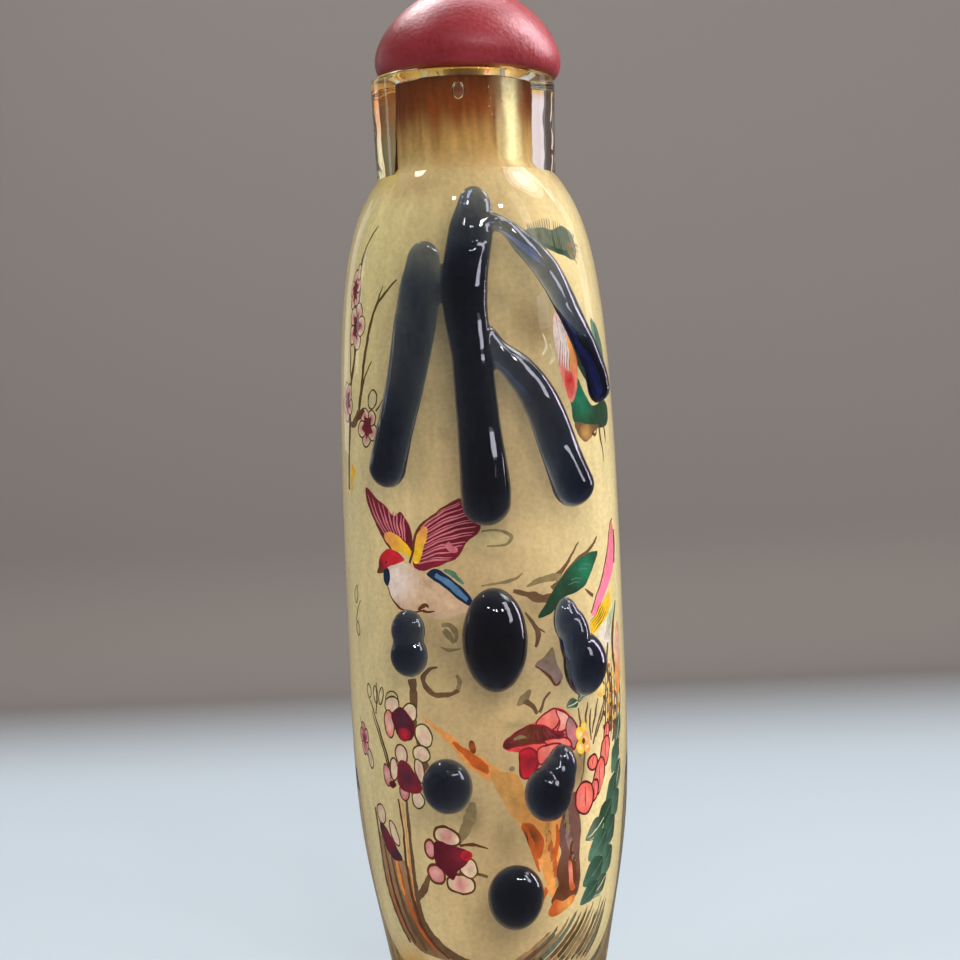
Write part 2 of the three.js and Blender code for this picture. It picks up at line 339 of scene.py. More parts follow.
def halfWidthAt(height):
    for low, high in zip(outerPoints, outerPoints[1:]):
        if height <= high.z:
            return low.x + (high.x - low.x) * (height - low.z) / max(1e-9, high.z - low.z)
    return glass["neckWaist"]


def onBody(face, across, height, lift):
    angle = across / girth
    wide = halfWidthAt(height)
    deep = halfDepth(wide, height)
    outward = Vector((math.sin(angle) / wide, math.cos(angle) / deep)).normalized()
    return Vector((
        face * (wide * math.sin(angle) + outward.x * lift),
        -face * (deep * math.cos(angle) + outward.y * lift),
        height,
    ))


# Small tools for modelling
def clearSelection():
    if bpy.context.object and bpy.context.object.mode != "OBJECT":
        bpy.ops.object.mode_set(mode="OBJECT")
    bpy.ops.object.select_all(action="DESELECT")


def spun(name, profile, turns):
    clearSelection()
    bpy.ops.mesh.primitive_plane_add(size=0.1)
    piece = bpy.context.object
    piece.name = name
    bpy.ops.object.mode_set(mode="EDIT")
    bpy.ops.mesh.merge(type="CENTER")
    bpy.ops.transform.translate(value=profile[0])
    for here, there in zip(profile, profile[1:]):
        bpy.ops.mesh.extrude_region_move(TRANSFORM_OT_translate={"value": there - here})
    bpy.ops.mesh.select_all(action="SELECT")
    bpy.ops.mesh.spin(steps=turns, angle=2 * math.pi, center=(0, 0, 0), axis=(0, 0, 1))
    bpy.ops.mesh.remove_doubles(threshold=1e-4)
    bpy.ops.mesh.normals_make_consistent(inside=False)
    bpy.ops.object.mode_set(mode="OBJECT")
    return piece


def reshape(piece, move):
    for vertex in piece.data.vertices:
        vertex.co = move(vertex.co)
    piece.data.update()


def ovalSection(place):
    radius = math.hypot(place.x, place.y)
    if radius < 1e-6:
        return place
    return Vector((place.x, place.y / radius * halfDepth(radius, place.z), place.z))


def slantLip(place):
    # the lip isn't square to the neck: it drops towards +X
    share = smooth(place.z, glass["boreEnd"], glass["neckTop"])
    drop = place.x * math.tan(glass["lipSlope"]) * share
    return Vector((place.x, place.y, place.z - drop))


def finish(piece, material, slot, replaced, sharpest=40):
    clearSelection()
    piece.select_set(True)
    bpy.context.view_layer.objects.active = piece
    bpy.ops.object.shade_smooth_by_angle(angle=math.radians(sharpest))
    piece.data.materials.clear()
    piece.data.materials.append(material)
    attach(piece, "root")
    if replaced:
        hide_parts(replaced)
    for name, collection in litOnly.items():
        if piece.name.startswith(name) or slot.startswith(name):
            collection.objects.link(piece)


def toMetres(piece):
    piece.data.transform(Matrix.Scale(mm, 4))
    piece.data.update()


# The clear glass
paintedReflections = [
    # painted reflections of the film and the picture in the glass's margins: across from and to, height
    # from and to, and the colour that the glass takes there
    (-5.8, -6.1, 73.5, 76.0, (1.0, 0.84, 0.22)),
    (-5.8, -6.1, 78.2, 80.8, (0.96, 0.24, 0.03)),
    (7.1, 7.5, 73.5, 76.0, (0.80, 0.54, 0.48)),
    (-6.0, -7.5, 8.5, 6.0, (0.95, 0.62, 0.28)),
]


def glassMaterial(name, roughness, refraction, lampTint):
    material = plainMaterial(name, (1, 1, 1), roughness)
    shader = material.node_tree.nodes["Principled BSDF"]
    shader.inputs["IOR"].default_value = refraction
    shader.inputs["Transmission Weight"].default_value = 1.0
    lampPasses(material, shader, (*lampTint, 1))
    return material, shader


def clearGlassMaterial():
    # clear, stained amber at the lip, tinted amber, red and pink at the neck's margins and amber at the
    # foot as painted reflections, and a little wavy at the neck
    material, shader = glassMaterial("clear_glass", 0.0, glass["refraction"], (0.98, 0.96, 0.90))
    parts = placeParts(material)
    tone = (0.99, 0.975, 0.93)
    # each painted reflection tints the glass towards its colour
    for acrossFrom, acrossTo, low, high, reflectedTone in paintedReflections:
        across = mapped(material, parts.outputs["X"], acrossFrom * mm, acrossTo * mm, 0, 1)
        height = mapped(material, parts.outputs["Z"], low * mm, high * mm, 0, 1)
        tone = blend(material, product(material, across, height), tone, reflectedTone)
    lip = mapped(material, parts.outputs["Z"], 83.4 * mm, 84.3 * mm, 0, 1)
    link(material, blend(material, lip, tone, (0.84, 0.44, 0.06)), shader.inputs["Base Color"])
    wave = node(material, "ShaderNodeBump", Distance=0.3 * mm)
    place = node(material, "ShaderNodeTexCoord").outputs["Object"]
    link(material, grainOf(material, place, (240, 240, 300), 1, 0.4), wave.inputs["Height"])
    strength = mapped(material, parts.outputs["Z"], 62 * mm, 73 * mm, 0, 0.45)
    link(material, strength, wave.inputs["Strength"])
    link(material, wave.outputs["Normal"], shader.inputs["Normal"])
    return material


def lampPasses(material, shader, tint):
    # lamps light what is behind the glass straight through it
    out = material.node_tree.nodes["Material Output"]
    path = node(material, "ShaderNodeLightPath")
    either = node(material, "ShaderNodeMath", operation="MAXIMUM")
    clear = node(material, "ShaderNodeBsdfTransparent", Color=tint)
    mix = node(material, "ShaderNodeMixShader")
    link(material, path.outputs["Is Shadow Ray"], either.inputs[0])
    link(material, path.outputs["Is Diffuse Ray"], either.inputs[1])
    link(material, either.outputs[0], mix.inputs["Fac"])
    link(material, shader.outputs["BSDF"], mix.inputs[1])
    link(material, clear.outputs["BSDF"], mix.inputs[2])
    link(material, mix.outputs["Shader"], out.inputs["Surface"])


def makeBottle():
    hollow = [
        Vector((glass["footInner"] * part, 0, glass["footHollow"] * (1 - part * part)))
        for part in (0, 0.1, 0.2, 0.35, 0.5, 0.65, 0.8, 0.92, 1)
    ]
    edge = glass["footRound"][0] - glass["footOuter"]
    foot = arcPoints((glass["footOuter"], edge), edge, -90, -20, 8)
    neckTop, waist = glass["neckTop"], glass["neckWaist"]
    lipStart = neckTop - glass["lipRound"]
    lipCentre = (glass["lipRadius"] - glass["lipRound"], lipStart)
    flare = (glass["lipRadius"] - waist) / (lipStart - glass["neckBase"])
    neck = [Vector((waist + flare * rise, 0, glass["neckBase"] + rise)) for rise in (0.35, 1.2, 3, 5, 7)]
    lip = arcPoints(lipCentre, glass["lipRound"], 0, 90, 8)
    mouth = [
        Vector((glass["boreRadius"] + glass["mouthChamfer"], 0, neckTop)),
        Vector((glass["boreRadius"], 0, neckTop - glass["mouthChamfer"])),
        Vector((glass["boreRadius"], 0, neckTop - 3)),
    ]
    profile = hollow + foot + outerPoints + neck + lip + mouth + innerPoints[::-1]
    piece = spun("bottle_glass", profile, glass["turns"])
    reshape(piece, ovalSection)
    reshape(piece, slantLip)
    toMetres(piece)
    finish(piece, clearGlassMaterial(), "clear_glass", "bottle", 32)
    print("bottle:", len(piece.data.polygons), "faces")


# Air bubbles in the neck's glass
bubbles = [
    # turn from the front in degrees, height, distance from the axis, half-width, half-height
    (-3, 82.7, 7.0, 0.55, 0.8), (17, 82.9, 7.4, 0.1, 0.12), (18, 81.9, 7.4, 0.08, 0.1),
    (17, 81.2, 7.4, 0.11, 0.12), (19, 80.5, 7.3, 0.09, 0.1), (26, 81.6, 7.4, 0.08, 0.08),
    (23, 82.4, 7.4, 0.07, 0.07), (-35, 77.6, 7.2, 0.08, 0.08),
]


def makeBubbles():
    clearSelection()
    made = []
    for turn, height, radius, wide, tall in bubbles:
        angle = math.radians(turn)
        bpy.ops.mesh.primitive_uv_sphere_add(radius=1, segments=28, ring_count=16)
        ball = bpy.context.object
        ball.scale = (wide, wide * 0.5, tall)
        ball.rotation_euler.z = angle
        ball.location = (radius * math.sin(angle), -radius * math.cos(angle), height)
        bpy.ops.object.transform_apply(location=True, rotation=True, scale=True)
        made.append(ball)
    for ball in made:
        ball.select_set(True)
    bpy.ops.object.join()
    piece = bpy.context.object
    piece.name = "bubbles"
    toMetres(piece)
    material, _ = glassMaterial("air", 0.0, 1 / glass["refraction"], (1, 1, 1))
    finish(piece, material, "clear_glass", None)


# The stopper
stopper = {
    "radius": 8.45, "rim": 1.4, "tuck": 0.6, "dome": 7.05, "fullness": 1.7,
    "seat": 0.05, "lean": math.radians(2.5), "offset": 0.5, "turns": 96,
}
cork = {"shoulder": 0.55, "inset": 0.12}


def leaned(place):
    # the stopper and its cork lean towards +X, and touch the slanted lip on that side
    contact = glass["lipRadius"] - glass["lipRound"]
    rise = contact * (math.tan(stopper["lean"]) - math.tan(glass["lipSlope"]))
    turned = Matrix.Rotation(stopper["lean"], 3, "Y") @ place
    return turned + Vector((0, 0, glass["neckTop"] + stopper["seat"] + rise))


def makeStopper():
    radius, rim, tuck = stopper["radius"], stopper["rim"], stopper["tuck"]
    profile = [Vector((0, 0, 0)), Vector((radius * 0.45, 0, 0))]
    for step in range(12):
        turn = (step / 12 - 1) * math.pi / 2
        profile.append(Vector((radius - tuck * (1 - math.cos(turn)), 0, rim * (1 + math.sin(turn)))))
    steps = 40
    for step in range(steps + 1):
        turn = step / steps * math.pi / 2
        power = 2 / stopper["fullness"]
        across = 0 if step == steps else radius * math.cos(turn) ** power
        profile.append(Vector((across, 0, rim + stopper["dome"] * math.sin(turn) ** power)))
    piece = spun("stopper_coral", profile, stopper["turns"])
    reshape(piece, lambda place: leaned(place + Vector((stopper["offset"], 0, 0))))
    toMetres(piece)
    finish(piece, coralMaterial(), "coral_red", "stopper", 50)
    print("stopper:", len(piece.data.polygons), "faces")


def coralMaterial():
    # dyed coral: cloudy rose red, a matt polish, fine grain and a few pale pores
    material = plainMaterial("coral", (0.2, 0.015, 0.02), 0.4)
    shader = material.node_tree.nodes["Principled BSDF"]
    shader.inputs["Specular IOR Level"].default_value = 0.65
    shader.inputs["Specular Tint"].default_value = (1.0, 0.72, 0.78, 1)
    shader.inputs["Subsurface Weight"].default_value = 0.12
    shader.inputs["Subsurface Radius"].default_value = (0.0016, 0.0004, 0.0004)
    shader.inputs["Subsurface Scale"].default_value = 1.0
    place = node(material, "ShaderNodeTexCoord").outputs["Object"]
    cloud = mapped(material, grainOf(material, place, 230, 4), 0.35, 0.65, 0, 1)
    fine = mapped(material, grainOf(material, place, 2600), 0.35, 0.7, 0, 1)
    tone = blend(material, cloud, (0.165, 0.009, 0.011), (0.235, 0.019, 0.025))
    tone = blend(material, mapped(material, fine, 0, 1, 0, 0.25), tone, (0.28, 0.045, 0.055))
    pores = node(material, "ShaderNodeTexVoronoi", Scale=950.0)
    link(material, place, pores.inputs["Vector"])
    pit = mapped(material, pores.outputs["Distance"], 0.05, 0.16, 1, 0)
    rare = mapped(material, grainOf(material, place, 420, 1), 0.56, 0.64, 0, 1)
    pitted = product(material, pit, rare)
    link(material, blend(material, pitted, tone, (0.55, 0.24, 0.24)), shader.inputs["Base Color"])
    link(material, mapped(material, fine, 0, 1, 0.32, 0.46), shader.inputs["Roughness"])
    bump = node(material, "ShaderNodeBump", Strength=0.25, Distance=0.06 * mm)
    height = node(material, "ShaderNodeMath", operation="SUBTRACT")
    link(material, fine, height.inputs[0])
    link(material, pitted, height.inputs[1])
    link(material, height.outputs[0], bump.inputs["Height"])
    link(material, bump.outputs["Normal"], shader.inputs["Normal"])
    return material


# The cork
def makeCork():
    # its side lies just inside the stained film on the bore
    radius = glass["boreRadius"] + paint["inside"] - 0.03
    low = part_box("cork")[0].z / mm
    top = leaned(Vector((-radius, 0, 0))).z
    shoulder = glass["neckTop"] - cork["shoulder"]
    inner = radius - cork["inset"]
    profile = [
        Vector((0, 0, low)), Vector((inner, 0, low)), Vector((radius, 0, low + cork["inset"])),
        Vector((radius, 0, shoulder - cork["inset"])), Vector((inner, 0, shoulder)),
        Vector((inner, 0, top)), Vector((0, 0, top)),
    ]
    piece = spun("stopper_cork", profile, 72)
    toMetres(piece)
    finish(piece, corkMaterial(), "cork", "cork", 50)


def corkMaterial():
    # old cork soaked with resin: dark amber with upright streaks, lighter and golden towards +X as painted
    # light from the right
    material = plainMaterial("cork", (0.15, 0.06, 0.01), 0.75)
    shader = material.node_tree.nodes["Principled BSDF"]
    shader.inputs["Specular IOR Level"].default_value = 0.15
    place = node(material, "ShaderNodeTexCoord").outputs["Object"]
    streak = mapped(material, grainOf(material, place, (1500, 1500, 260), 4, 0.6), 0.35, 0.68, 0, 1)
    speck = mapped(material, grainOf(material, place, 2600, 2), 0.58, 0.66, 0, 1)
    parts = node(material, "ShaderNodeSeparateXYZ")
    link(material, place, parts.inputs["Vector"])
    # painted light: the cork turns lighter and golden towards +X, the side the light comes from
    paintedLightShare = mapped(material, parts.outputs["X"], 0.4 * mm, 3.4 * mm, 0, 1)
    tone = blend(material, streak, (0.085, 0.030, 0.006), (0.20, 0.085, 0.016))
    paintedLightTone = blend(material, streak, (0.40, 0.16, 0.02), (0.85, 0.48, 0.08))
    tone = blend(material, paintedLightShare, tone, paintedLightTone)
    link(material, blend(material, speck, tone, (0.05, 0.02, 0.006)), shader.inputs["Base Color"])
    return material


# Blue glass
blue = {
    "voxel": 0.13, "sunk": 0.04, "vineRise": 1.7, "vinePower": 1.2, "dropRise": 2.0, "dropPower": 1.22,
}
# each stroke: stops of distance across, height, half-width, and how thick the glass stands there
frontVine = [
    [(1.1, 74, 1.8, .32), (0.2, 70.1, 2.2, .48), (-0.6, 65.1, 2.1, .9), (-0.2, 59.1, 1.75, 1),
     (0.15, 53.1, 1.85, 1), (0.5, 47.6, 2.15, 1), (0.5, 44.4, 2.1, .9)],
    [(-4.3, 69.4, 1.7, .4), (-4.7, 65.6, 2.1, .4), (-5.3, 62.1, 2.15, .42), (-6.2, 57.6, 1.95, .6),
     (-7.5, 52.6, 1.8, 1), (-8.7, 48.1, 1.85, 1.05)],
    [(-4.2, 63.9, 0.9, .7), (-2.6, 65, 0.8, .8), (-1, 65.7, 0.9, .9)],
    [(1.2, 71.1, 0.9, .8), (3.4, 70.4, 0.8, .5), (5.2, 68.9, 1.2, .6), (7.6, 66.4, 1.5, .48),
     (9.2, 63.7, 1.5, .6), (10.9, 60.3, 1.4, 1), (12.3, 57.6, 1.4, 1.1), (12.9, 54.8, 1.4, 1.1)],
    [(0.6, 61.6, 1, .8), (2, 59.5, 1.1, .8), (3.9, 57.7, 1.5, .8), (5.7, 55, 1.8, .8),
     (7.2, 51.1, 1.95, .8), (9.1, 45.8, 2.1, 1.1)],
]
backVine = [
    [(0, 72.6, 1.5, .7), (0.3, 66.1, 2, .9), (-0.2, 57.1, 1.9, 1), (0, 47.1, 2.1, 1)],
    [(-1, 67.1, 1, .7), (-4, 65.1, 1.3, .7), (-6.2, 59.1, 1.7, .8), (-7.8, 51.1, 1.7, 1)],
    [(1, 64.1, 1, .7), (4, 61.6, 1.3, .7), (6.4, 56.1, 1.7, .8), (7.6, 49.1, 1.7, 1)],
]
# each drop: its lobes as centre across, centre height, half-width, half-height, relief
frontDrops = [
    [(-6.85, 35.6, 1.65, 1.85, 1.35), (-6.85, 34.5, 1.45, 1.5, 1.3), (-6.85, 33.45, 1.8, 1.95, 1.5)],
    [(0.75, 34.55, 2.75, 4.55, 2.1)],
    [(7.2, 35.9, 1.3, 2.0, 1.2), (7.9, 34.3, 1.5, 2.7, 1.6), (8.9, 32.0, 2.2, 2.9, 1.9)],
    [(-3.9, 22, 2.25, 2.45, 1.7)],
    [(6.2, 23.2, 1.4, 2.0, 1.5), (5.7, 22.2, 1.7, 2.3, 1.7), (4.9, 21.0, 2.2, 2.5, 1.9)],
    [(1.8, 12, 2.7, 2.95, 2.0)],
]
backDrops = [
    [(-7, 34.1, 1.9, 2.3, 1.7)], [(0, 34.7, 2.5, 3.4, 2.1)], [(7, 34.1, 1.9, 2.3, 1.7)],
    [(-4, 22.6, 2.2, 2.5, 1.7)], [(4, 22.6, 2.2, 2.5, 1.7)], [(0, 12.6, 2.5, 2.8, 2.1)],
]


def insetEnds(stops):
    # the round ends reach the first and last stop, so the bar itself starts half a width inside them
    made = list(stops)
    for end, beside in ((0, 1), (-1, -2)):
        _, _, half, share = stops[end]
        way = Vector(stops[beside][:2]) - Vector(stops[end][:2])
        inner = Vector(stops[end][:2]) + way.normalized() * half
        made[end] = (inner.x, inner.y, half, share)
    return made


def flatStroke(stops):
    # a round bar along the stops, laid flat: x across, z up, and -y is how far it stands off the body
    clearSelection()
    stops = insetEnds(stops)
    bpy.ops.curve.primitive_bezier_curve_add()
    bar = bpy.context.object
    spline = bar.data.splines[0]
    spline.bezier_points.add(len(stops) - 2)
    for knot, (across, height, half, _) in zip(spline.bezier_points, stops):
        knot.co = (across, 0, height)
        knot.radius = half
        knot.handle_left_type = knot.handle_right_type = "AUTO"
    spline.resolution_u = 12
    bar.data.bevel_depth = 1.0
    bar.data.bevel_resolution = 7
    bar.data.use_fill_caps = True
    bpy.ops.object.convert(target="MESH")
    ends = [bar]
    for across, height, half, _ in (stops[0], stops[-1]):
        bpy.ops.mesh.primitive_uv_sphere_add(radius=half, location=(across, 0, height), segments=24,
                                             ring_count=14)
        bpy.ops.object.transform_apply(location=True, rotation=True, scale=True)
        ends.append(bpy.context.object)
    heights = [stop[1] for stop in stops]
    shares = [stop[3] for stop in stops]

    def thin(place):
        top = max(range(len(heights)), key=lambda i: -abs(heights[i] - place.z))
        near = sorted(range(len(heights)), key=lambda i: abs(heights[i] - place.z))[:2]
        low, high = sorted(near, key=lambda i: heights[i])
        span = heights[high] - heights[low]
        part = 0 if abs(span) < 1e-6 else min(1, max(0, (place.z - heights[low]) / span))
        share = shares[low] + (shares[high] - shares[low]) * part if span else shares[top]
        return Vector((place.x, place.y * 0.85 * share, place.z))

    for end in ends:
        reshape(end, thin)
    return ends


def flatDrop(lobes):
    made = []
    for across, height, wide, tall, relief in lobes:
        clearSelection()
        bpy.ops.mesh.primitive_uv_sphere_add(radius=1, segments=40, ring_count=24)
        lobe = bpy.context.object
        lobe.scale = (wide, relief, tall)
        lobe.location = (across, 0, height)
        bpy.ops.object.transform_apply(location=True, rotation=True, scale=True)
        made.append(lobe)
    return made


def fuse(name, parts, face, smoothing, rise, power):
    clearSelection()
    for part in parts:
        part.select_set(True)
    piece = bpy.context.view_layer.objects.active = parts[0]
    bpy.ops.object.join()
    piece.name = name
    remesh = piece.modifiers.new("fuse", "REMESH")
    remesh.mode = "VOXEL"
    remesh.voxel_size = blue["voxel"]
    bpy.ops.object.modifier_apply(modifier="fuse")
    soft = piece.modifiers.new("soft", "SMOOTH")
    soft.factor = 0.5
    soft.iterations = smoothing
    bpy.ops.object.modifier_apply(modifier="soft")

    def wrap(place):
        lift = -place.y
        if lift > 0:
            lift = rise * (lift / rise) ** power
            lift *= 1 + 0.1 * noise.noise(Vector((place.x * 0.5, 3.1 * face, place.z * 0.2)))
        return onBody(face, place.x, place.z, max(lift, -blue["sunk"]))

    reshape(piece, wrap)
    toMetres(piece)
    return piece


def blueGlassMaterial():
    # it soaks up more light the thicker it is, so thin ends are pale and the rest is nearly black
    material, shader = glassMaterial("blue_glass", 0.02, 1.56, (0.5, 0.56, 0.68))
    place = node(material, "ShaderNodeTexCoord").outputs["Object"]
    swirl = mapped(material, grainOf(material, place, (420, 420, 150), 5, 0.62), 0.36, 0.64, 0, 1)
    tone = blend(material, swirl, (0.30, 0.44, 0.78), (0.60, 0.70, 0.95))
    link(material, tone, shader.inputs["Base Color"])
    wave = node(material, "ShaderNodeBump", Strength=0.12, Distance=0.12 * mm)
    link(material, grainOf(material, place, (330, 330, 120), 2, 0.5), wave.inputs["Height"])
    link(material, wave.outputs["Normal"], shader.inputs["Normal"])
    soak = node(material, "ShaderNodeVolumeAbsorption", Color=(0.08, 0.165, 0.40, 1), Density=2200.0)
    out = material.node_tree.nodes["Material Output"]
    link(material, soak.outputs["Volume"], out.inputs["Volume"])
    return material


def makeBlueGlass():
    material = blueGlassMaterial()
    for side, face, vine, drops in (("front", 1, frontVine, frontDrops), ("back", -1, backVine, backDrops)):
        bars = [part for stops in vine for part in flatStroke(stops)]
        piece = fuse(f"vine_{side}_glass", bars, face, 8, blue["vineRise"], blue["vinePower"])
        finish(piece, material, "blue_glass", f"vine_{side}", 80)
        print(piece.name, len(piece.data.polygons), "faces")
        for number, lobes in enumerate(drops, 1):
            name = f"grape_{side}_{number}"
            piece = fuse(f"{name}_glass", flatDrop(lobes), face, 10, blue["dropRise"], blue["dropPower"])
            finish(piece, material, "blue_glass", name, 80)
    print("blue glass done")


# The painting inside: brushes. Places are millimetres around the wall and of height
paint = {
    "skin": 0.02, "inside": -0.03, "gridStep": 0.6, "insideStep": 2.4, "lowest": 0.8, "seamAt": -21.0,
}
wallGirth = bodyRadius - glass["wall"]
wallRound = 2 * math.pi * wallGirth


def pigment(red, green, blueness):
    # a colour as the eye names it, 0 to 255, turned into the light that it returns
    return tuple((part / 255) ** 2.2 for part in (red, green, blueness))


colours = {
    "twig": pigment(84, 64, 30), "bark": pigment(104, 78, 56), "umber": pigment(98, 56, 30),
    "maroon": pigment(92, 24, 38), "wine": pigment(122, 34, 50), "plum": pigment(74, 40, 56),
    "rose": pigment(204, 112, 124), "blush": pigment(224, 176, 164), "cream": pigment(222, 206, 168),
    "scarlet": pigment(200, 38, 48), "coral": pigment(230, 100, 88), "salmon": pigment(232, 132, 122),
    "orange": pigment(228, 152, 82), "rust": pigment(192, 92, 42), "gold": pigment(236, 184, 40),
    "emerald": pigment(34, 112, 84), "pine": pigment(38, 66, 48), "sage": pigment(82, 118, 100),
    "slate": pigment(96, 108, 98), "navy": pigment(24, 42, 66), "sky": pigment(84, 120, 162),
    "cloud": pigment(232, 214, 208), "flesh": pigment(206, 172, 142), "lilac": pigment(142, 116, 112),
    "pink": pigment(250, 128, 160), "lime": pigment(206, 214, 168), "straw": pigment(234, 216, 164),
    "tan": pigment(188, 158, 114), "moss": pigment(200, 188, 134), "ochre": pigment(196, 146, 84),
    "smoke": pigment(134, 116, 84), "honey": pigment(168, 128, 70), "resin": pigment(112, 58, 22),
    "paintedHighlight": pigment(255, 242, 186), "clay": pigment(160, 124, 92), "mauve": pigment(116, 80, 72),
    "fern": pigment(62, 96, 80), "ash": pigment(176, 160, 128),
}
marks = []
washes = []


def smoothLine(points, steps=5, closed=False):
    # a curve through the given points
    places = [Vector(point) for point in points]
    count = len(places)
    made = []
    for number in range(count if closed else count - 1):
        if closed:
            before, here, there, after = (places[(number + shift) % count] for shift in (-1, 0, 1, 2))
        else:
            before, here, there, after = (
                places[min(max(number + shift, 0), count - 1)] for shift in (-1, 0, 1, 2))
        for step in range(steps):
            part = step / steps
            even = (2 * before - 5 * here + 4 * there - after) * part ** 2
            odd = (3 * here - before - 3 * there + after) * part ** 3
            made.append((2 * here + (there - before) * part + even + odd) / 2)
    return made if closed else made + [places[-1]]


def signedArea(outline):
    return sum(
        here.x * there.y - there.x * here.y for here, there in zip(outline, outline[1:] + outline[:1])) / 2


def unsteady(place):
    # the small shake of a brush held through the neck
    return place + noise.noise_vector(Vector((place.x * 1.4, place.y * 1.4, 0.5))).xy * 0.1


def mark(outline, colour, heart=None, middle=None, reach=1.0):
    # one patch of paint; with a heart it starts in that colour at the middle and turns into its own
    outline = [unsteady(place) for place in outline]
    if signedArea(outline) < 0:
        outline = outline[::-1]
    marks.append((outline, colours[colour], colours[heart or colour], Vector(middle or (0, 0)), reach))


def patch(points, colour, heart=None, middle=None, reach=1.0):
    mark(smoothLine(points, 4, True), colour, heart, middle, reach)


def ellipse(middle, wide, tall, lean, steps=18):
    turn = math.radians(lean)
    made = []
    for step in range(steps):
        angle = 2 * math.pi * step / steps
        x, y = wide * math.cos(angle), tall * math.sin(angle)
        made.append(Vector((
            middle[0] + x * math.cos(turn) - y * math.sin(turn),
            middle[1] + x * math.sin(turn) + y * math.cos(turn),
        )))
    return made


def oval(middle, wide, tall, lean, colour, heart=None, reach=None):
    mark(ellipse(middle, wide, tall, lean), colour, heart, middle, reach or max(wide, tall))


def stroke(points, widths, colour, steps=5, closed=False):
    # a brush line; its width follows the given widths from start to end and wavers a little
    line = smoothLine(points, steps, closed)
    if closed:
        line.append(line[0])
    last = len(line) - 1
    sides = []
    for number, place in enumerate(line):
        behind = line[number - 1] if number else (line[-2] if closed else place)
        ahead = line[number + 1] if number < last else (line[1] if closed else place)
        along = ahead - behind
        beside = Vector((-along.y, along.x)).normalized()
        share = number / last * (len(widths) - 1)
        low = min(int(share), len(widths) - 2)
        half = (widths[low] + (widths[low + 1] - widths[low]) * (share - low)) / 2
        if number not in (0, last):
            half *= 1 + 0.3 * noise.noise(Vector((place.x * 2.1, place.y * 2.1, 0)))
        sides.append((place + beside * half, place - beside * half))
    for (left, right), (nextLeft, nextRight) in zip(sides, sides[1:]):
        quad = [right, nextRight, nextLeft, left]
        if signedArea(quad[:3]) > 1e-5 and signedArea([quad[0], quad[2], quad[3]]) > 1e-5:
            mark(quad, colour)


def ring(middle, wide, tall, lean, width, colour):
    stroke(ellipse(middle, wide, tall, lean, 14), (width, width), colour, 2, True)


def wash(middle, wide, tall, colour, strength):
    # a soft tint laid into the ground
    washes.append((Vector(middle), wide, tall, Vector(colours[colour]), strength))


# The painting inside: what the brushes draw
def petal(middle, wide, tall, lean, colour="cream", heart="blush", line="twig", width=0.15):
    oval(middle, wide, tall, lean, colour, heart)
    ring(middle, wide, tall, lean, width, line)


def blossom(middle, size, narrow=1.0, lean=0, heart="wine", core="maroon", fill="cream", flush="rose"):
    # a plum blossom; narrow squeezes it where it turns away around the side of the bottle
    x, y = middle
    for number in range(5):
        angle = math.radians(lean + 90 + 72 * number)
        place = (x + 0.62 * size * narrow * math.cos(angle), y + 0.62 * size * math.sin(angle))
        wide = 0.42 * size * (narrow + (1 - narrow) * 0.3)
        petal(place, wide, 0.42 * size, 0, fill, flush)
    star = []
    for number in range(10):
        angle = math.radians(lean + 90 + 36 * number)
        reach = size * (0.62 if number % 2 == 0 else 0.42)
        star.append((x + reach * narrow * math.cos(angle), y + reach * math.sin(angle)))
    patch(star, heart, core, middle, 0.6 * size)


def bud(middle, size, lean, colour="rose", heart="wine"):
    petal(middle, 0.45 * size, 0.8 * size, lean, colour, heart, "twig", 0.14)


def leaf(base, tip, width, colour, vein, heart=None):
    base, tip = Vector(base), Vector(tip)
    along = tip - base
    beside = Vector((-along.y, along.x)).normalized() * width / 2
    points = [base, base + along * 0.3 + beside * 0.85, base + along * 0.6 + beside * 0.8,
              tip, base + along * 0.6 - beside * 0.8, base + along * 0.3 - beside * 0.85]
    patch(points, colour, heart, base, along.length * 0.9)
    midrib = [base + along * 0.05, base + along * 0.5 + beside * 0.1, tip - along * 0.1]
    light = [base + along * 0.1 + beside * 0.5, base + along * 0.35 + beside * 0.9,
             tip - along * 0.15 + beside * 0.3]
    stroke(midrib, (0.13, 0.1, 0.05), vein)
    stroke(light, (0.05, 0.12, 0.04), vein)


def feathers(roots, tips, count, width, colour, line=None):
    # streaks laid side by side from one edge of a wing to the other
    inner = smoothLine(roots, 12)
    outer = smoothLine(tips, 12)
    for number in range(count):
        share = (number + 0.5) / count
        start = inner[round(share * (len(inner) - 1))]
        end = outer[round(share * (len(outer) - 1))]
        bow = Vector((-(end - start).y, (end - start).x)) * 0.05
        stroke([start, (start + end) / 2 + bow, end], (width * 0.6, width, width * 0.3), colour, 4)
        if line:
            shift = Vector((-(end - start).y, (end - start).x)).normalized() * width * 0.75
            stroke([start + shift, (start + end) / 2 + bow + shift, end + shift * 0.6],
                   (width * 0.35, width * 0.4, width * 0.2), line, 4)


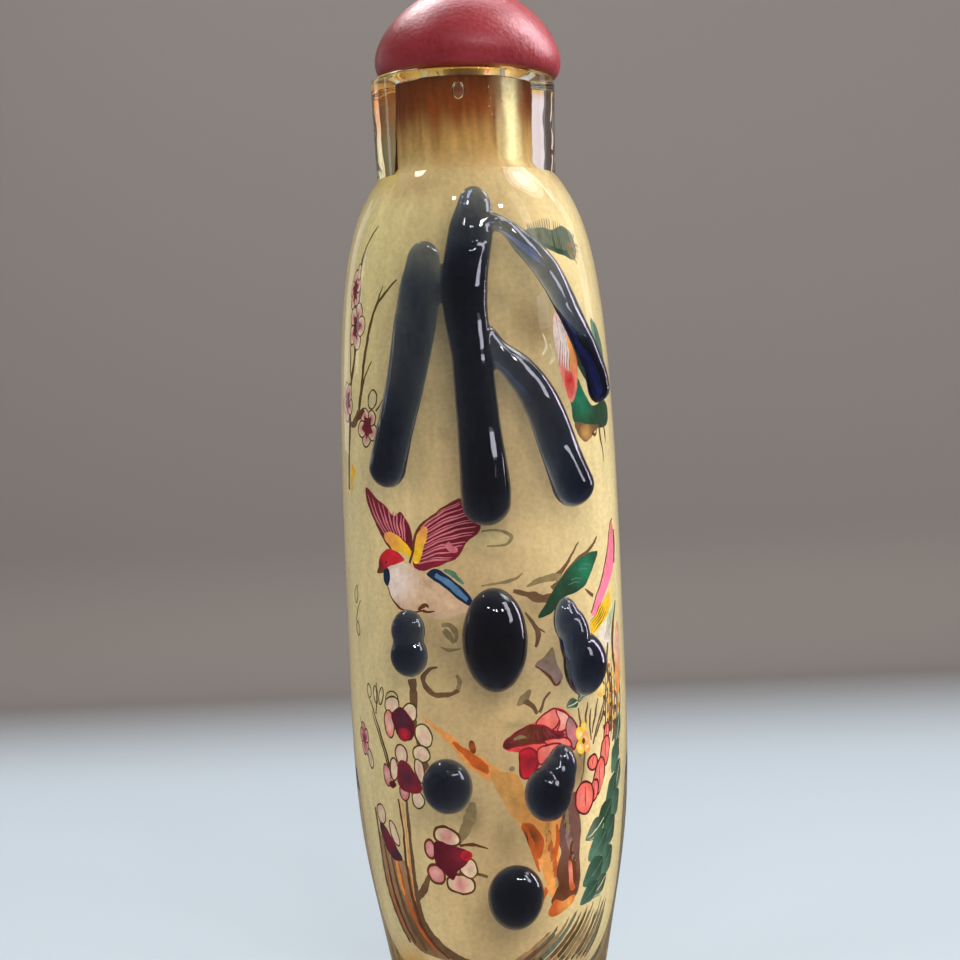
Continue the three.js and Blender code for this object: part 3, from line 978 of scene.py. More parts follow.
def plumTwigs():
    twigs = [
        ([(-11.3, 71), (-12.6, 69.8), (-13.4, 68.3), (-13.3, 66.8), (-13, 65.2), (-13.2, 63.4)],
         (0.12, 0.32, 0.4)),
        ([(-13.2, 63.4), (-13.1, 61.2), (-13.5, 59), (-14.2, 57), (-14.3, 54), (-14.8, 50.6), (-15, 48)],
         (0.4, 0.5, 0.4)),
        ([(-7.4, 66.4), (-8.7, 65.2), (-9.8, 64.2), (-10.5, 62.7), (-11, 61)], (0.14, 0.36, 0.4)),
        ([(-11, 61), (-11.4, 59.3), (-11.8, 57.2), (-12.3, 55)], (0.4, 0.42, 0.42)),
        ([(-9.1, 65.9), (-9.5, 65.1), (-9.8, 64.2)], (0.1, 0.24)),
        ([(-12.9, 69), (-13.2, 68.2), (-13.4, 67.2)], (0.1, 0.2)),
        ([(-10.2, 59.3), (-11.3, 57.8), (-11.9, 56.4)], (0.1, 0.3)),
        ([(-8.3, 56.3), (-9, 55.4), (-9.6, 54.9)], (0.1, 0.22)),
        ([(-14.4, 61), (-14.3, 59.2), (-14, 57.6)], (0.2, 0.3)),
        ([(-13.3, 38), (-14, 37.2), (-14.5, 36.2)], (0.12, 0.24)),
    ]
    for points, widths in twigs:
        stroke(points, widths, "twig")
    blossom((-14.2, 65.7), 1.7, 0.7, 10)
    blossom((-13.2, 62.5), 2.1, 0.75, -20)
    blossom((-15, 55.9), 1.8, 0.7, 30)
    blossom((-10.9, 53.5), 1.75, 0.8, 170)
    bud((-13.6, 67.3), 0.9, 10, "cream", "blush")
    petal((-10.1, 55.9), 0.62, 0.8, -15, "moss", "cream")
    stroke([(-12.4, 55), (-12.8, 54.3), (-13.6, 53.8), (-14.3, 53.9)], (0.5, 0.9, 0.3), "bark")
    stroke([(-11.4, 55.1), (-12.1, 54.6), (-12.8, 54.2)], (0.5, 0.8, 0.4), "umber")
    patch([(-14.1, 50.2), (-13.3, 49.8), (-13.6, 48.6), (-14.4, 47.2), (-14.6, 48.8)], "gold", "moss",
          (-14.3, 47.6), 2.2)


def smallLoops():
    for x, y, wide, tall, lean in (
        (-14.2, 38.6, 0.35, 0.8, -8), (-14.1, 35.5, 0.38, 0.65, 10), (-12.3, 30, 0.36, 0.6, 10),
        (-11.2, 29.7, 0.3, 0.8, 5), (-10.4, 29.6, 0.28, 0.75, -12), (-9, 29.4, 0.8, 0.65, 0),
    ):
        petal((x, y), wide, tall, lean, "moss", "cream", "twig", 0.13)
    stroke([(-11, 30.8), (-11.1, 29.4), (-11.2, 28)], (0.1, 0.2), "twig")
    stroke([(-3.7, 35.9), (-2.9, 35.8), (-2.4, 35), (-2.6, 34.4)], (0.3, 0.5, 0.15), "smoke")
    stroke([(-3.5, 35.5), (-3, 34.9), (-2.7, 34.3)], (0.5, 0.6, 0.2), "smoke")
    stroke([(-3.8, 34), (-3, 33.7), (-2.1, 33.8)], (0.15, 0.3, 0.1), "smoke")
    stroke([(-4.2, 32.2), (-4.9, 32), (-5.5, 31.2), (-5.2, 30.4), (-4.4, 29.8), (-3.2, 29.8), (-2.4, 30.2)],
           (0.15, 0.5, 0.45, 0.3), "bark")
    stroke([(-2.5, 30.2), (-2.3, 30.8), (-2.5, 31.5)], (0.3, 0.5, 0.2), "smoke")
    for points in ([(0, 43.9), (1.4, 43.9), (2.5, 43.3), (1.8, 42.7), (0.4, 42.6)],
                   [(-0.2, 39.2), (1.2, 39.3), (2.4, 39.6), (3.3, 40.1)]):
        stroke(points, (0.15, 0.32, 0.12), "smoke")
    wash((0.9, 41.8), 1.1, 0.6, "smoke", 0.35)
    wash((0.6, 43.2), 1.2, 0.6, "moss", 0.6)


def flyingBird():
    # wings first, then the body over their roots
    patch([(-11.3, 48.2), (-11.4, 47.2), (-10.7, 45.9), (-9.9, 44.8), (-9.1, 43.6), (-8, 43.3),
           (-6.6, 42.6), (-5.9, 42.5), (-6, 44.1), (-6.5, 45.2), (-7.1, 45.9), (-7.8, 45.5), (-8.6, 46.3),
           (-9.7, 47.1)],
          "wine", "maroon", (-7.4, 43.8), 3.4)
    feathers([(-8.9, 43.9), (-7.8, 44.1), (-6.6, 43.3)], [(-11.2, 47.6), (-8.4, 46.2), (-6.6, 45.5)], 9,
             0.2, "rose", "maroon")
    patch([(-1.6, 46.9), (-0.9, 45.9), (-0.1, 44.9), (-0.2, 43.9), (-1.2, 43), (-2, 41.8), (-3.3, 41.2),
           (-4.9, 40.7), (-5.9, 41), (-5.9, 42.6), (-5.6, 44.1), (-4.4, 45.1), (-3, 46.1)],
          "wine", "maroon", (-2.2, 44.4), 2.8)
    feathers([(-5.2, 44.5), (-5, 43), (-5.5, 41.2)], [(-1.8, 46.6), (-0.4, 44.4), (-2.9, 41.4)], 15, 0.17,
             "rose", "maroon")
    stroke([(-2.9, 43), (-2.5, 42.5), (-2, 42.4)], (0.5, 0.7, 0.3), "rose")
    patch([(-9, 43.4), (-8.9, 44.1), (-7.9, 44.1), (-6.9, 43.4), (-6.2, 42.5), (-6.3, 41.9), (-7.2, 42.3),
           (-8.3, 42.7)],
          "gold", "orange", (-8.6, 43.7), 2.6)
    patch([(-5.9, 41.5), (-5.9, 42.8), (-5.5, 43.9), (-4.8, 44.5), (-4.5, 44), (-5, 42.6), (-5.4, 41.4)],
          "gold", "orange", (-4.8, 44.4), 2.6)
    stroke([(-10.9, 46.2), (-9.9, 44.8), (-9, 43.4), (-8.3, 42.6)], (0.12, 0.2, 0.22), "umber")
    stroke([(-1.7, 46.9), (-3.1, 46.1), (-4.4, 45.2), (-5.5, 44.2), (-5.9, 42.7), (-6.3, 41.4)],
           (0.1, 0.2, 0.24), "umber")
    patch([(-4.7, 40.5), (-3.8, 40.8), (-2.7, 39.9), (-1.6, 38.9), (-1, 38), (-1.2, 37.4), (-2.2, 38.1),
           (-3.4, 39.3), (-4.5, 40.1)],
          "navy")
    stroke([(-4, 40.3), (-3, 39.6), (-2, 38.6), (-1.4, 38)], (0.3, 0.55, 0.3), "sky")
    stroke([(-3.3, 40.7), (-2.4, 40.2), (-1.6, 39.4)], (0.2, 0.5, 0.2), "sage")
    patch([(-8.8, 41.1), (-7.3, 41.5), (-5.8, 40.9), (-4.6, 40.2), (-3.4, 39.2), (-2.2, 38.1), (-1.1, 37.3),
           (-2.4, 36.7), (-4, 36.4), (-5.6, 37), (-7.1, 37.3), (-8.1, 37.9), (-8.7, 39)],
          "flesh", "cloud", (-8, 39.8), 3.2)
    stroke([(-8.8, 39.4), (-8.4, 38.3), (-7.6, 37.5), (-6.4, 37.1), (-5.2, 37.1)], (0.1, 0.2, 0.15),
           "umber")
    stroke([(-5.7, 37.2), (-5.1, 37.6), (-4.7, 37.4)], (0.2, 0.45, 0.1), "umber")
    stroke([(-5.3, 37.1), (-4.6, 37), (-4.2, 37.1)], (0.3, 0.2, 0.08), "umber")
    patch([(-9.9, 40.9), (-9.7, 41.9), (-8.9, 42.6), (-7.8, 42.5), (-6.8, 41.7), (-7.7, 41.3), (-8.6, 41.1),
           (-9.2, 40.7)],
          "scarlet", "maroon", (-9.9, 41), 1.5)
    patch([(-10.2, 40.5), (-9.9, 41.1), (-9.4, 41), (-9.3, 40.6)], "umber")
    patch([(-9.3, 40.8), (-8.7, 40.9), (-8.5, 40.2), (-8.8, 39.4), (-9.3, 39.9)], "navy")
    oval((-9, 41.5), 0.13, 0.13, 0, "navy")


def greyBranch():
    stroke([(11.6, 42.9), (10.3, 41.8), (8.9, 41), (7.8, 40.2), (6.9, 39.3), (6, 38.4)],
           (0.15, 0.5, 0.7, 0.9), "bark")
    stroke([(8.9, 42.6), (8, 41.4), (7, 40.3), (6.2, 39.6)], (0.1, 0.3, 0.5), "bark")
    stroke([(3.5, 39), (4.8, 39.4), (6.2, 39.6), (7.4, 39.2)], (0.15, 0.7, 0.8), "smoke")
    stroke([(2.4, 38.6), (3.6, 38.2), (5, 37.8), (6.4, 38)], (0.3, 0.8, 0.7), "bark")
    stroke([(3.3, 36.7), (4, 35.6), (4.4, 34.6), (4.1, 33.6)], (0.15, 0.4, 0.5, 0.2), "bark")
    stroke([(4.2, 35.3), (5, 34.8)], (0.3, 0.1), "bark")
    stroke([(9.4, 38.4), (10, 38), (10.6, 37.7)], (0.1, 0.35, 0.3), "bark")
    patch([(4.4, 36.2), (5.6, 36.4), (6.8, 37.6), (8.2, 38.1), (9.6, 38.8), (10.8, 40.4), (11.5, 41.6),
           (10.2, 41.5), (8.6, 40.9), (7.2, 40), (6.3, 38.9), (5.2, 37.4)], "pine", "emerald", (9.6, 40.2),
          2.6)
    feathers([(7.2, 38.6), (9.6, 40.8)], [(8.6, 38.8), (10.6, 40.6)], 4, 0.1, "sage")
    wash((4.4, 37), 1.6, 1.3, "smoke", 0.5)
    patch([(3.9, 32), (4.8, 32.7), (5.6, 33.5), (6, 32.1), (6.5, 31), (6.3, 30.2), (5.7, 30.1), (5.1, 30.8),
           (4.4, 31.5)],
          "lilac", "smoke", (5.6, 33.4), 2.4)
    stroke([(4, 31.9), (4.7, 31.4), (5.3, 30.8), (5.8, 30.1), (6.3, 30.4)], (0.1, 0.22, 0.15), "umber")
    stroke([(2.4, 28.6), (2.9, 29.2), (3.5, 29.9)], (0.3, 0.8, 0.2), "smoke")
    stroke([(2.9, 29), (3.6, 28.5), (4, 27.8)], (0.4, 0.5, 0.2), "bark")


def perchedBird():
    patch([(15, 44.3), (14.3, 43.6), (13.5, 41.6), (12.3, 39.4), (11, 37.5), (10.1, 36.2), (10.8, 36),
           (12.2, 37.4), (13.5, 38.6), (14.8, 40), (15.3, 42.2)], "pink", "salmon", (14.9, 44), 2)
    stroke([(15.2, 44.4), (14.3, 43.8), (13.5, 41.6), (12.2, 39.3), (11, 37.5), (10.1, 36.2)],
           (0.15, 0.2, 0.12), "umber")
    stroke([(15.4, 43.4), (15.4, 42), (15.1, 40.4)], (0.4, 0.4, 0.3), "wine")
    patch([(15.2, 39.6), (14.1, 38.8), (12.6, 37.4), (10.9, 36.2), (10, 35.1), (10.3, 34.4), (11.7, 35.1),
           (13.3, 36.2), (14.8, 37.8)], "gold", "straw", (14.6, 38.6), 2.5)
    feathers([(11.7, 37), (12.6, 36.1)], [(10, 35.5), (10.6, 34.5)], 5, 0.12, "twig")
    patch([(15.2, 38), (13.9, 36.8), (12.4, 35.5), (11.1, 34.4), (11.8, 33.2), (13, 32.7), (14, 34.2),
           (14.8, 36)],
          "lime", "cloud", (12.4, 34), 2.4)
    feathers([(14.2, 36.6), (13, 35.6)], [(13.4, 33.6), (12, 33.6)], 5, 0.1, "slate")
    stroke([(15, 37), (14.2, 35.2), (13.7, 33.2), (13.9, 31.4), (14.2, 30.2)], (0.2, 0.5, 0.5, 0.3),
           "umber")
    stroke([(12.8, 33.4), (12.4, 32), (12.5, 30.6), (12.9, 29.4)], (0.2, 0.4, 0.3), "bark")
    patch([(15.6, 35), (14.6, 34.2), (14.2, 31.6), (14, 29.4), (14.8, 28.6), (15.8, 31)], "orange", "blush",
          (15.2, 33), 3)
    patch([(10.4, 30.3), (11.2, 30.2), (11.8, 29.3), (11.2, 28.6), (10.4, 29)], "gold", "straw", (11, 29.5),
          1)


def upperLeaves():
    patch([(6, 70), (7.8, 70.3), (9.5, 70.1), (11.2, 70.4), (12.6, 69.9), (13.1, 68.8), (12.4, 67.6),
           (10.8, 67.8), (9.2, 68.2), (7.6, 68.8)], "slate", "pine", (10, 68.6), 2.6)
    feathers([(6.6, 69.4), (9.4, 68.6), (12, 68.2)], [(6.2, 70.6), (9.8, 71), (13.6, 69.6)], 22, 0.14,
             "slate", "smoke")
    feathers([(11.6, 69), (11.2, 68.2)], [(13.9, 68.8), (12.6, 67)], 8, 0.14, "smoke")
    wash((2.7, 64.2), 1.1, 0.9, "pine", 0.22)
    wash((5.2, 62.2), 2.2, 2.6, "smoke", 0.75)
    wash((6.3, 61.4), 1.2, 1.6, "umber", 0.3)
    leaf((8.1, 63.3), (11.8, 56.4), 1.9, "pine", "emerald")
    leaf((13.6, 62.4), (16, 57), 2.2, "slate", "pine", "sage")
    patch([(8.9, 57.2), (10, 57), (10.7, 55.9), (11.9, 54.6), (13.4, 54.8), (15, 55), (15.8, 54),
           (14.9, 52.8), (12.6, 52.6), (10.4, 52.9), (9.1, 53.2), (8.8, 55)], "pine", "emerald", (10, 55.4),
          3.2)
    patch([(9.2, 53.1), (11, 52.9), (13, 52.8), (12, 52.2), (11.3, 51.6), (10.3, 51.4), (9.5, 52.1)],
          "bark", "ochre", (10.8, 52.2), 1.2)
    for points in ([(13, 52.8), (13.2, 51.6), (13.6, 50.4), (13.6, 49.5)],
                   [(14.1, 52.9), (14.3, 52), (14.3, 51.2)],
                   [(11.6, 52.2), (12.2, 51.9), (12.6, 52.6)]):
        stroke(points, (0.3, 0.3, 0.08), "twig")
    patch([(7.8, 62.8), (8.7, 62.2), (9.4, 61), (9.9, 59.2), (10, 57.2), (9.5, 55.4), (8.8, 55), (8, 57),
           (7.6, 59.6), (7.5, 61.4)],
          "salmon", "cloud", (8.1, 61), 3.6)
    feathers([(7.8, 62.4), (9, 61.6)], [(7.7, 58.4), (8.9, 57.6)], 5, 0.24, "cloud", "lilac")
    feathers([(9, 61), (9.6, 60.4)], [(9, 56.8), (9.9, 56.6)], 3, 0.3, "orange", "coral")
    patch([(8.4, 57.6), (9.4, 57.4), (9.5, 56.2), (8.9, 55.2), (8.4, 56)], "coral", "scarlet", (8.9, 56.8),
          1)
    stroke([(6.3, 61), (6.6, 59.9), (6.1, 59.1)], (0.1, 0.3, 0.15), "cream")
    stroke([(7, 60), (7.2, 58.8), (6.7, 58.2)], (0.1, 0.4, 0.2), "cream")
    wash((-2.7, 52.4), 0.6, 0.5, "smoke", 0.5)
    wash((-4.4, 55.9), 0.5, 0.5, "smoke", 0.4)


def plumTree():
    stems = [
        ([(-12.4, 29.4), (-11.5, 28), (-10.9, 26.2), (-10.3, 24.4), (-10, 23)], (0.12, 0.24, 0.3), "twig"),
        ([(-11.9, 28.2), (-11.1, 26), (-10.6, 24.4), (-10.2, 23)], (0.12, 0.2, 0.2), "twig"),
        ([(-6.6, 31.2), (-6.5, 30), (-6.6, 28.4), (-6.6, 26.6), (-6.1, 24.6), (-5.7, 23)],
         (0.8, 0.7, 0.4, 0.6), "bark"),
        ([(-14.8, 27.6), (-14.5, 26.8), (-14.2, 26)], (0.1, 0.2), "twig"),
        ([(-13.6, 19.6), (-13.6, 16.5), (-13.7, 13.8), (-13.3, 11.6), (-12.7, 10), (-12, 8.6),
          (-11.4, 7.6)],
         (0.3, 0.5, 0.3), "bark"),
        ([(-12.7, 16.4), (-12.5, 13.5), (-12.1, 11.3), (-11.3, 9.2), (-10.4, 7.6)], (0.2, 0.5, 0.3),
         "umber"),
        ([(-13.1, 14), (-12.9, 12), (-12.3, 10.2), (-11.5, 8.6)], (0.15, 0.3, 0.15), "rust"),
        ([(-11.7, 15.4), (-11.3, 12.6), (-10.7, 10.4), (-9.9, 8.6), (-8.8, 7)], (0.25, 0.6, 0.4), "bark"),
        ([(-10.6, 15.4), (-10.3, 13), (-9.9, 11), (-9, 9), (-7.6, 7.2)], (0.2, 0.45, 0.3), "rust"),
        ([(-10.9, 15.6), (-10.8, 13.6), (-10.4, 12)], (0.4, 0.6, 0.2), "orange"),
        ([(-9.4, 20.5), (-9.2, 17.6), (-9.4, 14.6), (-9.2, 12), (-8.6, 9.6), (-7.4, 7.8), (-5.8, 6.5)],
         (0.2, 0.35, 0.6, 0.5), "umber"),
        ([(-8.9, 20.4), (-8.8, 17), (-8.9, 14), (-8.9, 11.6)], (0.15, 0.25, 0.1), "orange"),
        ([(-8.4, 20.6), (-8.4, 17.6), (-8.5, 14.6), (-8.5, 12), (-8.3, 10), (-7.6, 8.6), (-6.4, 7.4),
          (-4.8, 6.4), (-3, 5.8)],
         (0.3, 0.45, 0.6, 0.8, 0.9), "bark"),
        ([(-8.6, 11.8), (-7.8, 12.4), (-7.1, 13.1), (-6.7, 14)], (0.9, 0.8, 0.3), "bark"),
    ]
    patch([(-13.6, 17.6), (-12.6, 16.8), (-10.8, 15.6), (-9.4, 15), (-8.6, 13), (-8.5, 11), (-7.8, 9),
           (-6, 7.2), (-4, 6.2), (-7, 6.3), (-10, 7), (-12, 8.6), (-13.2, 11), (-13.7, 14)], "clay", "bark",
          (-8.6, 9), 5)
    for points, widths, colour in stems:
        stroke(points, widths, colour)
    petal((-9, 28.9), 0.9, 0.75, 10)
    petal((-7, 28.2), 0.75, 0.85, -10)
    petal((-5.8, 26.2), 0.8, 1.05, 20)
    petal((-9.5, 27.2), 0.6, 1.25, 0, "salmon", "blush")
    patch([(-9.1, 28), (-8, 28.7), (-7, 27.9), (-6.6, 26.9), (-7.1, 25.8), (-8.1, 25.8), (-8.8, 26.6)],
          "maroon", "plum", (-7.9, 27.6), 1.4)
    oval((-7.8, 26.3), 0.75, 0.65, 0, "wine", "scarlet")
    blossom((-14.2, 25.6), 1.5, 0.6, 0, "rose", "wine", "blush", "rose")
    petal((-13.3, 23.9), 0.45, 0.9, 12)
    petal((-8.4, 24.5), 0.7, 0.9, 5, "blush", "cream")
    petal((-6.2, 24.6), 0.85, 0.75, -30)
    petal((-6.5, 23.1), 0.5, 1.1, 12)
    petal((-9.5, 23.2), 0.5, 1, -8, "blush", "cream")
    petal((-7, 20.6), 0.65, 0.8, 20)
    petal((-8.5, 21.2), 0.6, 0.7, -10, "rose", "blush")
    patch([(-9.2, 23), (-8.6, 24), (-7.7, 23.7), (-7, 22.8), (-6.4, 21.6), (-7, 21.1), (-8.2, 21.2),
           (-9.1, 21.8)],
          "wine", "plum", (-8.1, 22.6), 1.5)
    oval((-5.5, 21.4), 0.35, 0.5, 20, "blush")
    bud((-10.6, 22.6), 1.2, 8, "rose", "blush")
    patch([(-10.4, 21.9), (-9.7, 22.2), (-9.4, 21.7), (-10, 21.5)], "maroon")
    petal((-12.5, 19.1), 0.8, 0.9, 0, "blush", "cream")
    petal((-10.6, 17.5), 0.5, 1.2, 24, "blush", "cream")
    patch([(-13.1, 18.3), (-12.3, 18.2), (-11.3, 17.4), (-10.5, 16.3), (-9.9, 15.2), (-11, 15.1),
           (-12.1, 15.8), (-12.8, 16.9)],
          "plum", "wine", (-11.6, 16.9), 1.8)
    petal((-6.2, 16.3), 0.6, 0.8, 10, "rose", "blush", "umber", 0.24)
    petal((-4.4, 17.4), 1.3, 0.8, -20, "cream", "rose", "umber", 0.24)
    petal((-5.8, 14.1), 0.95, 0.8, -35, "rose", "blush", "umber", 0.24)
    petal((-3.4, 13.2), 1.4, 0.85, -10, "cream", "rose", "umber", 0.2)
    petal((-2.5, 14.6), 0.8, 0.9, 20, "cream", "blush", "umber", 0.16)
    patch([(-5.7, 16.8), (-5, 17), (-4.4, 16.8), (-3.2, 16.4), (-2.3, 15.9), (-2.6, 15.1), (-3.5, 14.4),
           (-4.1, 13.6), (-4.9, 14.2), (-5.8, 15.1)], "maroon", "wine", (-3.2, 15.6), 1.8)
    oval((-2.6, 15.7), 0.55, 0.45, 0, "scarlet", "wine")


def dryStrokes():
    wash((-1.9, 19), 0.9, 1.6, "smoke", 0.8)
    wash((1, 17.3), 1.7, 2.4, "smoke", 0.55)
    stroke([(-1.8, 20.4), (-2.1, 19), (-2.8, 17.6), (-3.3, 16.8)], (0.6, 1.1, 0.9, 0.3), "smoke")
    stroke([(-3.2, 16.6), (-2, 16.7), (-0.6, 16.3)], (0.3, 0.3, 0.1), "umber")
    stroke([(-3.4, 14.4), (-2.2, 14.2), (-0.8, 13.8)], (0.5, 0.5, 0.2), "bark")
    stroke([(-5.7, 27.8), (-4.7, 27), (-3.7, 26.2), (-2.8, 25.2), (-1.9, 24.3), (-0.8, 23.4), (0.2, 22.7)],
           (0.15, 0.5, 0.8, 1.3, 1.5), "orange")
    stroke([(-3.2, 25.6), (-2.2, 24.8), (-1.2, 23.8), (-0.2, 23)], (0.2, 0.6, 0.9, 0.6), "rust")
    oval((-1.5, 25.2), 0.3, 0.6, 10, "umber", "rust")
    oval((1.7, 23.1), 0.25, 0.2, 0, "smoke")
    oval((1.3, 22.3), 0.18, 0.16, 0, "smoke")
    for place in ((1.6, 26.6), (2.2, 27), (2.9, 27.1)):
        wash(place, 0.4, 0.3, "pine", 0.5)


def rockAndTrunk():
    patch([(-0.3, 23.4), (0.8, 22.9), (1.9, 22.8), (2.6, 21.8), (3.2, 19.8), (4.4, 18.4), (6.2, 18.8),
           (6.4, 17), (6.2, 15.4), (6.5, 13.8), (6.4, 12.2), (6, 11), (5, 12.2), (4.4, 14), (3.8, 15.4),
           (3.1, 16.6), (2.4, 18), (1.4, 19.4), (0.5, 21)], "orange", "ochre", (1, 21), 4.6)
    for number in range(14):
        x = 4.6 + 1.6 * (number * 0.381966 % 1)
        y = 11.4 + 6 * (number * 0.618034 % 1)
        stroke([(x, y), (x + 0.2, y + 0.7), (x + 0.1, y + 1.2)], (0.1, 0.5, 0.1),
               ("rust", "clay", "ochre")[number % 3])
    patch([(2.4, 18.2), (3.4, 18.2), (4.2, 17.4), (4.6, 16.4), (4.2, 15.2), (3.5, 15.6), (2.9, 16.8)],
          "rust", "umber", (3.2, 17), 1.6)
    patch([(6.9, 20.2), (8.3, 20.6), (8.4, 19), (8.7, 17.2), (8.6, 15.2), (8.9, 13.2), (8.6, 11.6),
           (7.6, 11), (6.2, 10.7), (5.4, 11.3), (6.2, 12.6), (5.9, 14), (6.4, 15.4), (6, 16.8),
           (6.3, 18.4)], "mauve", "umber", (6.8, 12.4), 4)
    for number in range(26):
        x = 6.3 + 2.1 * (number * 0.381966 % 1)
        y = 11.6 + 7.6 * (number * 0.618034 % 1)
        bow = 0.4 * noise.noise(Vector((x * 3, y, 4.5)))
        stroke([(x, y), (x + bow, y + 0.8), (x + 0.2, y + 1.3 + bow)], (0.1, 0.42, 0.1),
               ("umber", "maroon", "lilac", "umber", "smoke")[number % 5])
    patch([(7.2, 14.6), (7.7, 14.4), (7.9, 13), (8.3, 12.2), (7.7, 12), (7.4, 13.2)], "rust", "salmon",
          (7.7, 13.6), 1.4)
    patch([(5.8, 11.4), (6.8, 11.2), (8.3, 11.6), (8.1, 10.8), (7, 10.2), (5.9, 9.8), (5.2, 10.2)], "rust",
          "orange", (7.4, 10.8), 1.6)
    for points in ([(5.8, 18), (6, 16.6), (5.7, 15), (5.9, 13.4)],
                   [(2.6, 18.4), (3.2, 17), (3.6, 15.6), (4.1, 14)]):
        stroke(points, (0.2, 0.5, 0.2), "rust")


def peony():
    patch([(1, 25.3), (1.6, 26), (2.6, 26.6), (3.8, 27.1), (4.6, 27.8), (5.6, 28.2), (6.6, 27.9),
           (7.3, 27.2), (8, 26.3), (8, 25.2), (7.4, 24.2), (6.4, 24.9), (5.2, 24.6), (4.4, 23.8),
           (3.9, 22.8), (3, 22.2), (2.4, 22.6), (2.4, 23.6), (2.6, 24.4), (1.4, 24.7)], "coral", "scarlet",
          (2.6, 24), 2.6)
    petals = [
        # outline, colour, heart, where the heart is, reach
        ([(3.9, 27), (4.7, 27.8), (5.6, 28.1), (6.1, 27.2), (5.4, 26.3), (4.5, 26.5)], "coral", "salmon",
         (5.2, 27.4), 1.2),
        ([(5.7, 28), (6.6, 27.7), (7.1, 27), (6.7, 26.2), (5.9, 26.1), (6.1, 27)], "salmon", "blush",
         (6.6, 27.4), 1.2),
        ([(7, 27.2), (7.8, 26.6), (8.1, 25.4), (7.6, 24.4), (7, 25.2), (6.7, 26.2)], "lilac", "rose",
         (7.6, 25.8), 1.4),
        ([(1.1, 25.4), (2, 26.2), (3.4, 26.8), (4.6, 26.6), (5.8, 26), (6.6, 25.8), (5.6, 25.3), (4, 25.2),
          (2.4, 25.1), (1.2, 24.9)], "maroon", "umber", (3, 25.9), 2.6),
        ([(4.6, 25.4), (6, 25.5), (7, 25.4), (7.3, 24.6), (6.4, 24.8), (5.2, 24.8)], "coral", "salmon",
         (6.2, 25.2), 1.3),
        ([(2.5, 24.6), (3.3, 24.8), (4, 24.2), (3.9, 23.2), (3.4, 22.4), (2.7, 22.2), (2.4, 22.9),
          (2.4, 23.8)],
         "scarlet", "wine", (3.4, 23.6), 1.4),
        ([(4, 24.6), (5, 25), (6.2, 24.9), (5.6, 24.2), (4.8, 23.6), (4.1, 23.4)], "coral", "salmon",
         (5, 24.4), 1.2),
    ]
    for points, colour, heart, middle, reach in petals:
        patch(points, colour, heart, middle, reach)
        stroke(points, (0.14, 0.22, 0.1), "wine", 4, True)
    feathers([(1.4, 25.3), (6, 25.7)], [(2.6, 26.4), (5, 26.5)], 9, 0.13, "wine", "bark")
    stroke([(1.9, 25.7), (2.5, 25.9), (3, 25.7)], (0.2, 0.4, 0.1), "smoke")
    stroke([(4.2, 27.9), (4.6, 28.8), (5.2, 29.6)], (0.3, 0.25, 0.15), "bark")


def sideFlowers():
    wash((8.3, 23), 0.9, 2.4, "bark", 0.85)
    for points in ([(12.4, 29.6), (11.4, 28), (10.6, 26.2), (10, 24.6)],
                   [(10.6, 28.6), (10.2, 27.2), (9.9, 25.6)],
                   [(9.2, 28.4), (9, 27.2), (8.9, 26)], [(8, 28), (8.3, 26.8), (8.2, 25.2), (8.4, 23.6)],
                   [(13.4, 27.6), (12.8, 26.6), (12.3, 25.6)], [(9.6, 27.8), (9.5, 26.4), (9.8, 25)],
                   [(8.9, 24.8), (8.9, 23), (8.6, 21.4)], [(11.9, 28.6), (11.2, 26.8), (10.4, 25.2)]):
        stroke(points, (0.12, 0.26, 0.16), "bark")
    for number in range(12):
        x = 12 + 0.3 * number
        sway = noise.noise(Vector((x * 5.3, 2.5, 0)))
        low = 24.5 + 4 * noise.noise(Vector((x * 3.1, 8.5, 0)))
        stroke([(x, low), (x + 0.3 * sway, low + 3), (x + 0.6 * sway + 0.2, low + 6.5)], (0.3, 0.22, 0.08),
               "bark")
        for share in (0.3, 0.5, 0.7, 0.9):
            place = (x + 0.5 * sway * share + 0.25 * (-1) ** round(share * 10), low + 6.5 * share)
            oval(place, 0.2, 0.26, 0, ("umber", "smoke", "gold", "rust")[number % 4])
    for middle, size, colour in (((8.3, 25.6), 0.5, "gold"), ((9.0, 25.2), 0.45, "orange"),
                                 ((8.4, 24.5), 0.5, "gold"), ((9.2, 24.4), 0.4, "orange"),
                                 ((8.7, 26.3), 0.35, "gold")):
        patch(ellipse(middle, size, size * 1.3, 20, 7), colour, "straw", middle, size)
    oval((8.75, 25), 0.22, 0.26, 0, "umber")
    for middle, wide, tall, lean in (
        ((12.2, 25.4), 0.5, 0.9, -10), ((12.1, 23.8), 0.8, 1.35, -8), ((10.1, 23), 0.7, 0.65, 10),
        ((11.2, 21.7), 0.85, 1.6, -12), ((10.4, 20.5), 0.6, 1.0, -20), ((9.1, 20), 1.2, 1.45, -8),
    ):
        petal(middle, wide, tall, lean, "coral", "salmon", "maroon", 0.2)
        x, y = middle
        stroke([(x, y + tall * 0.7), middle, (x + 0.1, y - tall * 0.5)], (0.1, 0.16, 0.05), "scarlet")
    stroke([(13.4, 25.6), (12.8, 22.8), (11.6, 20.2), (10.4, 18), (9.6, 16.2)], (0.2, 0.4, 0.5, 0.3),
           "straw")


